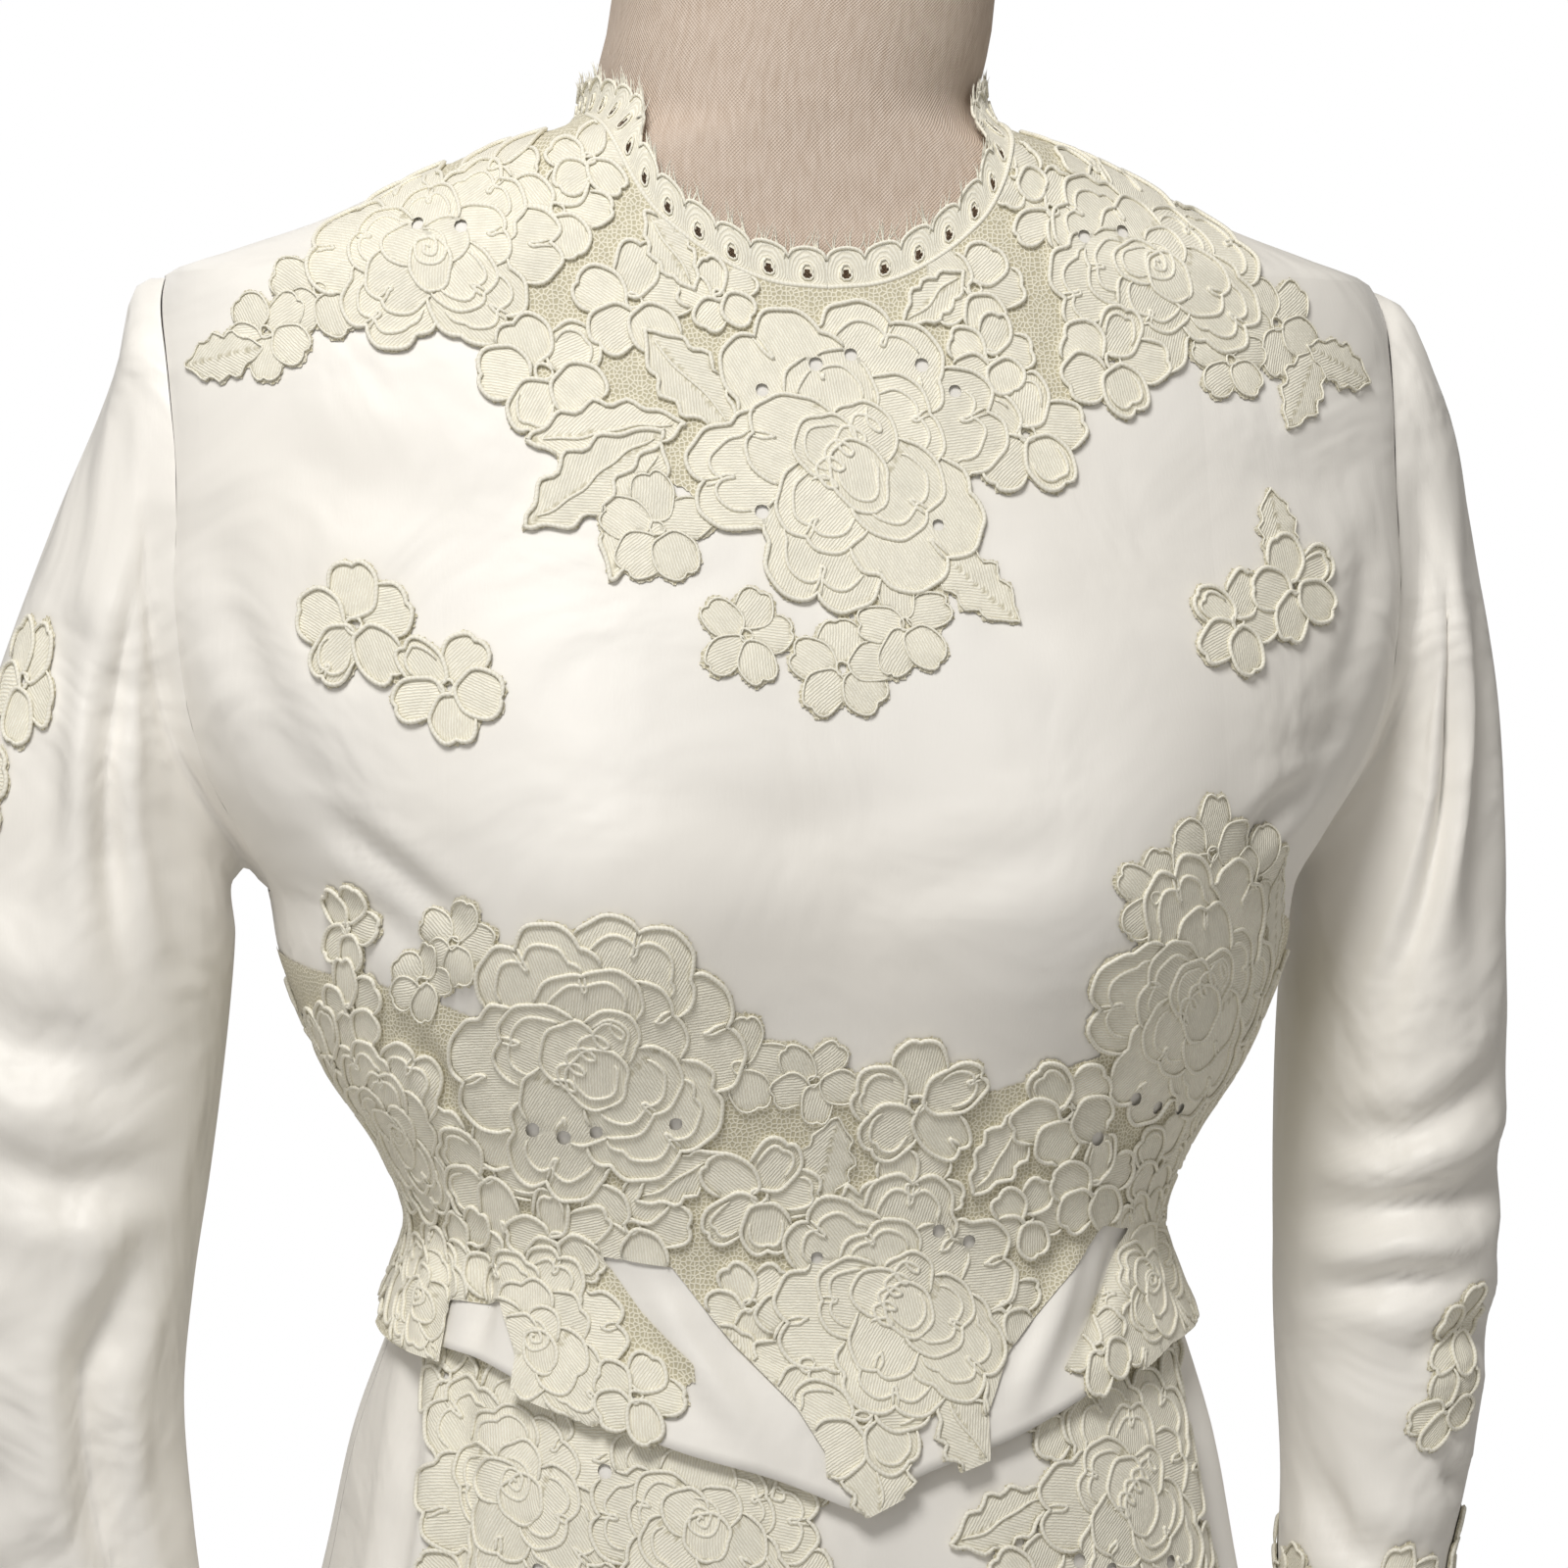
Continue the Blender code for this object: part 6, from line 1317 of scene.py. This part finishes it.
# Edges of the front and back panels by height, read as distances round the body; the lace in front
# overhangs the basque's edge
def panelClip(chart, behind):
    vs = chart["vs"]
    openness = np.sqrt(np.clip(1 - ((vs - armholeMiddle) / armholeHalf) ** 2, 0, 1))
    depth = armhole["back" if behind else "front"] * openness
    outerAngle = np.where(openness > 0, angleAtDepth(bodyCuts, depth, vs, behind), math.pi / 2)
    outerU = np.abs(distanceAt(chart, outerAngle, vs))
    innerU = np.abs(distanceAt(chart, neckAngle(vs, behind), vs))
    innerU = np.where(vs < neckEdge["back" if behind else "front"], -99, innerU)
    edgeAngle = np.radians(basqueEdge[:, 0]) * (-1 if behind else 1) + (math.pi if behind else 0)
    edgeU = np.abs(distanceAt(chart, edgeAngle, 1050 + 0 * edgeAngle))
    order = np.argsort(edgeU)

    # The least of the ways in from the outer edge, the neck and the basque's edge
    def clip(u, v):
        outer, inner = np.interp(v, vs, outerU) - 0.6, np.interp(v, vs, innerU) + 0.3
        basque = np.interp(np.abs(u), edgeU[order],
                           basqueEdge[order, 1]) + (0.3 if behind else -laceWork["overhang"])
        return np.minimum(np.minimum(outer - np.abs(u), np.abs(u) - inner), v - basque)
    return clip


# Lace piece and its cords in one: laid on a chart, mirrored for the other side where asked, and its flat
# size the span of its plan plus 4 mm
def makeLacePiece(piece, chart, clip, name=None, node=None, flip=False):
    name, node = name or piece["name"], node or piece["node"]
    petals, points, quads, attributes = layLace(piece, chart, clip)
    lines = layCords(piece, chart, clip, petals)
    if flip:
        points, quads = points * [-1, 1, 1], quads[:, ::-1]
        lines = [{"points": line["points"] * [-1, 1, 1], "normals": line["normals"] * [-1, 1, 1],
                  "radius": line["radius"]} for line in lines]
    sheet = makeMesh(name, points, quads, lace, attributes)
    cords = tubes(name + "Cords", lines, cord, 5 if piece["cell"] < 1.2 else 4)
    plan = attributes["plan"]
    flat = [round(float(np.ptp(plan[:, axis])) * toMetres + 0.004, 3) for axis in (0, 1)]
    dressSheet(sheet, node, tuple(flat))


frontClip, backClip = panelClip(frontChart, False), panelClip(backChart, True)
makeLacePiece(yoke, frontChart, frontClip)
makeLacePiece(girdle, frontChart, frontClip)
for sprig in sprigs:
    makeLacePiece(sprig, frontChart, frontClip)


# The back's edges, less a strip of 0.4 mm beside the centre
def backPanelClip(u, v):
    return np.minimum(backClip(u, v), -0.4 - u)


makeLacePiece(girdleBack, backChart, backPanelClip, "laceGirdleBackRight",
              "lace_girdle_back_right")
makeLacePiece(girdleBack, backChart, backPanelClip, "laceGirdleBackLeft",
              "lace_girdle_back_left", True)


# The skirt's lace stops under the basque and above the hip: the smaller of the two ways in
def skirtClip(u, v):
    return np.minimum(1058 - v, v - 862)


# No edge near: far inside everywhere
def openClip(u, v):
    return 999 + 0 * u


makeLacePiece(skirtLeft, skirtChart, skirtClip)
makeLacePiece(skirtRight, skirtChart, skirtClip)
for sideName, sprig in sleeveSprigs.items():
    chart = sleeveCharts[sideName]
    makeLacePiece(sprig, chart, openClip)
    wrist, halfGirth = chart["vs"][0], chart["halfGirth"]

    # Half the arm's girth less the way round, or the height over the wrist, whichever is less
    def cuffClip(u, v):
        return np.minimum(np.interp(v, chart["vs"], halfGirth) - np.abs(u), v - wrist)
    cuff = cuffPiece("laceCuff" + sideName, wrist + laceWork["cuffHeight"])
    makeLacePiece(cuff, chart, cuffClip, None, "lace_cuff_" + sideName.lower())
print("lace made")

# Neck band: half-round scallops standing up from the satin neck edge, an eyelet in each, edged with
# cord, and a fringe of fine lashes above
band = {"height": 12.0, "gap": 0.5, "scallops": 44, "dip": 3.4, "perScallop": 14, "rows": 13,
        "eyelet": 1.45, "eyeletHeight": 6.4, "ringRadius": 2.15, "meanHeight": 11.0, "flat": 0.0125,
        "lashes": 430, "lashSeed": 7, "lashLength": (5.0, 9.5), "lashRadius": 0.4}


# Neck edge at equal steps all round: one half's run from front to back, and the same mirrored
def neckLine(count):
    frontHeights = np.concatenate([np.linspace(neckEdge["front"], 1380, 30),
                                   np.linspace(1381, neckEdge["shoulder"], 50)])
    backHeights = np.linspace(neckEdge["shoulder"], neckEdge["back"], 60)[1:]
    angle = np.concatenate([neckAngle(frontHeights, False), neckAngle(backHeights, True)])
    height = np.concatenate([frontHeights, backHeights])
    path = bodyPoint(angle, height)
    length = runLength(path)
    place = np.arange(count) * 2 * length[-1] / count
    behind = place > length[-1]
    side, sign = np.where(behind, 2 * length[-1] - place, place), np.where(behind, -1, 1)
    edge = np.stack([np.interp(side, length, path[:, axis]) for axis in range(3)], axis=1)
    edge[:, 0] *= sign
    return sign * np.interp(side, length, angle), np.interp(side, length, height), edge, 2 * length[-1]


columns = band["scallops"] * band["perScallop"]
angle, height, edge, girth = neckLine(columns)
place = (np.arange(columns) % band["perScallop"]) / band["perScallop"]
arc = np.sqrt(np.clip(1 - (2 * place - 1) ** 2, 0, 1))
share = np.linspace(0, 1, band["rows"])[:, None]
topHeight = height + band["gap"] + band["height"] - band["dip"] * (1 - arc)
topPoints = bodyPoint(angle, topHeight)
start = edge + band["gap"] * unit(topPoints - edge)
lowHeight = start[:, 2]
upright = bodyPoint(angle + 0 * share, lowHeight + (topHeight - lowHeight) * share)
points = start * (1 - share[..., None]) + upright * share[..., None]
normals = gridNormals(points, closed=True)
alongU = np.arange(columns) * girth / columns
upV = (topHeight - lowHeight) * share
centreU = (np.arange(columns) // band["perScallop"] + 0.5) * girth / band["scallops"]
holeDistance = np.hypot(alongU + 0 * share - centreU, upV - band["eyeletHeight"])
quads = gridQuads(band["rows"], columns, True)
cut = holeDistance.ravel()[quads].mean(axis=1) < band["eyelet"]
ringTone = 0.9 + 0.12 * np.exp(-((holeDistance - 2.6) / 0.8) ** 2)
work = np.stack([(upV > 1.6).ravel() * 1.0, ringTone.ravel(), 0 * upV.ravel()], axis=1)
bandSheet = makeMesh("laceNeckBand", (points - 0.1 * normals).reshape(-1, 3), quads[~cut], lace,
                     {"plan": planAttribute(alongU, upV, holeDistance), "work": work})
whole = np.arange(columns + 1) % columns
bandLines = [{"points": points[row][whole] + 0.35 * normals[row][whole], "normals": normals[row][whole],
              "radius": radius}
             for row, radius in ((0, 0.85), (2, 0.45), (band["rows"] - 1, 0.55))]
for scallop in range(band["scallops"]):
    turn = np.linspace(0, fullTurn, 13)
    column = (scallop + 0.5) * band["perScallop"] + band["ringRadius"] * np.cos(turn) / girth * columns
    row = (band["eyeletHeight"] + band["ringRadius"] * np.sin(turn)) / band["meanHeight"] * (band["rows"] - 1)
    column, row = column.round().astype(int) % columns, row.round().astype(int)
    ring = {"points": points[row, column] + 0.3 * normals[row, column], "normals": normals[row, column]}
    bandLines.append({**ring, "radius": laceWork["picotRadius"]})
bandCords = tubes("laceNeckBandCords", bandLines, cord, 5)
bandFlat = (round(girth * toMetres, 3), band["flat"])
dressSheet(bandSheet, "lace_neck_band", bandFlat)

random = np.random.default_rng(band["lashSeed"])
spots = np.sort(random.uniform(0, columns, band["lashes"])).astype(int) % columns
lashes = []
for spot in spots:  # each lash rises from the band's top, leans, waves by a sine and tilts outwards
    length, lean, outTilt = random.uniform(*band["lashLength"]), random.uniform(-0.6, 0.6), random.uniform(-0.1, 0.3)
    length *= 1.0 - 0.35 * min(1.0, abs(points[-1][spot][0]) / 60) ** 2
    sideways = unit(points[-1][(spot + 2) % columns] - points[-1][spot - 2])
    t = np.linspace(0, 1, 5)[:, None]
    rise = np.array([0, 0, 1.0])
    line = points[-1][spot] - 0.8 * rise + length * t * rise
    line = line + length * (lean * t + 0.2 * np.sin(3 * t + spot)) * sideways * 0.6
    line = line + length * outTilt * t**2 * normals[-1][spot]
    thickness = band["lashRadius"] * (1.1 - t[:, 0])
    lashes.append({"points": line, "normals": normals[-1][spot] + 0 * line, "radius": thickness})
lashPiece = tubes("laceNeckLashes", lashes, cord, 3)
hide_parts("lace_neck_lashes")

# Covered buttons down the centre back: domes with a gathered rim, standing where the nodes stand, on the
# lace of the girdle below and on the satin above
button = {"count": 12, "top": 1404.0, "pitch": 28, "sides": 28, "laceBelow": 1146, "onLace": 1.8,
          "onSatin": 0.3,
          "gathers": 14, "gatherDepth": 0.012}
dome = np.array([(4.2, 0.1), (4.9, 0.8), (5.0, 1.6), (4.6, 2.5), (3.8, 3.25), (2.7, 3.8), (1.4, 4.1)])
turn = np.arange(button["sides"]) * fullTurn / button["sides"]
gathers = np.sin(button["gathers"] * turn)[None, :, None] * np.linspace(1, 0, len(dome))[:, None, None]
pucker = 1 + button["gatherDepth"] * gathers
buttonPoints = []
for number in range(button["count"]):
    place = np.array(math.pi), np.array(button["top"] - button["pitch"] * number)
    normal = outward(bodyPoint, *place)
    seat = bodyPoint(*place) + button["onLace" if place[1] < button["laceBelow"] else "onSatin"] * normal
    across = unit(np.cross([0, 0, 1.0], normal))
    upward = np.cross(normal, across)
    ring = np.cos(turn)[None, :, None] * across + np.sin(turn)[None, :, None] * upward
    shell = seat + dome[:, 0][:, None, None] * pucker * ring + dome[:, 1][:, None, None] * normal
    buttonPoints += [shell.reshape(-1, 3), seat[None] + 4.2 * normal, seat[None] + 0.1 * normal]
last = len(dome) * button["sides"]
quads, lowFan, topFan = roundFaces(len(dome), button["sides"], last + 1, last)
buttonFaces = [np.concatenate([block + number * (last + 2) for number in range(button["count"])])
               for block in (quads, topFan, lowFan)]
buttons = makeMesh("coveredButtons", np.concatenate(buttonPoints), buttonFaces, satin)
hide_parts(*[f"button_{number + 1:02d}" for number in range(button["count"])])
print("neck band and buttons made")


# Dress form: linen cover on a fine grid, its plan in millimetres for the weave, then cap and stand
levels = np.concatenate([np.linspace(800, 812, 5), np.linspace(818, 1070, 26), np.linspace(1075, 1370, 34),
                         np.linspace(1373, 1440, 34), np.linspace(1444, 1512, 18)])
around = np.linspace(-math.pi, math.pi, 121)
angle, height = around[None, :] + 0 * levels[:, None], levels[:, None] + 0 * around[None, :]
points = formPoint(angle, height)
girth = runLength(points)
girth -= girth[:, 60:61]  # measured from the middle of the front
points, count = points[:, :-1], len(around) - 1
lastRow = (len(levels) - 1) * count
ends = [np.arange(count)[::-1].reshape(1, -1), (np.arange(count) + lastRow).reshape(1, -1)]
torso = makeMesh("linenTorso", points.reshape(-1, 3), [gridQuads(len(levels), count, True), *ends], linen,
                 {"plan": planAttribute(girth[:, :-1], height[:, :-1])})
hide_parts("form_torso")
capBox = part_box("form_cap")
capCentre = [(capBox[0][axis] + capBox[1][axis]) / 2 / toMetres for axis in (0, 1)]
capLow, capHigh = capBox[0][2] / toMetres, capBox[1][2] / toMetres
cap = turned("turnedNeckCap", capCentre, [
    (0, capLow), (57, capLow), (58.2, capLow + 0.8), (58.8, capLow + 2.4), (58.8, capLow + 4.6),
                                          (58.0, capLow + 6.4),
    (56.4, capLow + 7.8), (54.0, capLow + 8.7), (50.0, capLow + 9.1), (30, capHigh - 0.6),
                                          (10, capHigh - 0.1),
    (0, capHigh)], beech)
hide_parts("form_cap")
stand = {"collar": ("form_collar", 46, 2.5), "pole": ("form_pole", 16, 1.0),
         "base": ("form_base", 205, 5.0)}
for name, (node, radius, edge) in stand.items():
    low, high = (corner[2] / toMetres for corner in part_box(node))
    bend = np.linspace(0, math.pi / 2, 7)
    rim = [(radius - edge + edge * math.cos(a), high - edge + edge * math.sin(a)) for a in bend]
    profile = [(0, low), (radius - 0.8, low), (radius, low + 0.8), *rim, (0, high)]
    if name == "base":
        profile[-1:] = [(60, high), (34, high), (0, high)]
    piece = turned("iron" + name.capitalize(), (0, 0), profile, iron)
    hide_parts(node)
print("form and stand made")

# Plain pale floor, soft studio light and the camera at the photograph's angle
floorMaterial, floorTree, floorShader = newMaterial("paleFloor")
setInputs(floorTree, floorShader, {"Base Color": linearColour("F2F1EF"), "Roughness": 0.9})
floorMesh = bpy.data.meshes.new("floor")
reach, level = 2.6, -0.0002  # just under the base, so that the two don't flicker
floorMesh.from_pydata([(-reach, -reach, level), (reach, -reach, level), (reach, reach, level),
                       (-reach, reach, level)],
                      [], [(0, 1, 2, 3)])
floorMesh.materials.append(floorMaterial)
floor = bpy.data.objects.new("floor", floorMesh)
bpy.context.scene.collection.objects.link(floor)

# The world is warm as a light and white as a background
light = {"world": 0.27, "key": 18.5, "fill": 4.5, "rim": 8.0}
world = bpy.data.worlds.new("studio")
bpy.context.scene.world = world
world.use_nodes = True
tree = world.node_tree
background = tree.nodes["Background"]
path = addNode(tree, "ShaderNodeLightPath")
strength = addNode(tree, "ShaderNodeMix", {"data_type": "FLOAT"}, {0: (path, 0), 2: light["world"], 3: 1.0})
shade = addNode(tree, "ShaderNodeMix", {"data_type": "RGBA"},
                {0: (path, 0), 6: (1.0, 0.96, 0.90, 1), 7: (1, 1, 1, 1)})
setInputs(tree, background, {"Color": (shade, 2), "Strength": (strength, 0)})


# Round soft light at a place, turned so that its -Z axis meets the aim
def addLight(name, place, aim, size, power, colour):
    lamp = bpy.data.lights.new(name, "AREA")
    lamp.shape, lamp.size, lamp.energy, lamp.color = "DISK", size, power, colour
    thing = bpy.data.objects.new(name, lamp)
    thing.location = place
    thing.rotation_euler = (Vector(aim) - Vector(place)).to_track_quat("-Z", "Y").to_euler()
    bpy.context.scene.collection.objects.link(thing)


addLight("key", (-0.50, -1.05, 2.45), (0, 0, 1.25), 0.6, light["key"], (1.0, 0.985, 0.96))
addLight("fill", (-1.7, -1.9, 1.5), (0, 0, 1.1), 1.8, light["fill"], (0.98, 0.98, 1.0))
addLight("rim", (-0.8, 2.4, 2.6), (0, 0, 1.1), 1.6, light["rim"], (1.0, 1.0, 1.0))
bpy.context.scene.view_settings.view_transform = "Standard"

view = {"azimuth": -10.0, "elevation": 3.5, "distance": 1.3, "aim": (0.0, 0.0, 1.216), "lens": 91.0}
side, tilt = math.radians(view["azimuth"]), math.radians(view["elevation"])
eye = Vector(view["aim"]) + view["distance"] * Vector(
    (math.sin(side) * math.cos(tilt), -math.cos(side) * math.cos(tilt), math.sin(tilt)))
cameraData = bpy.data.cameras.new("camera")
cameraData.lens, cameraData.sensor_width = view["lens"], 36.0
camera = bpy.data.objects.new("camera", cameraData)
camera.location = eye
camera.rotation_euler = (Vector(view["aim"]) - eye).to_track_quat("-Z", "Y").to_euler()
bpy.context.scene.collection.objects.link(camera)
bpy.context.scene.camera = camera
print("stage made")
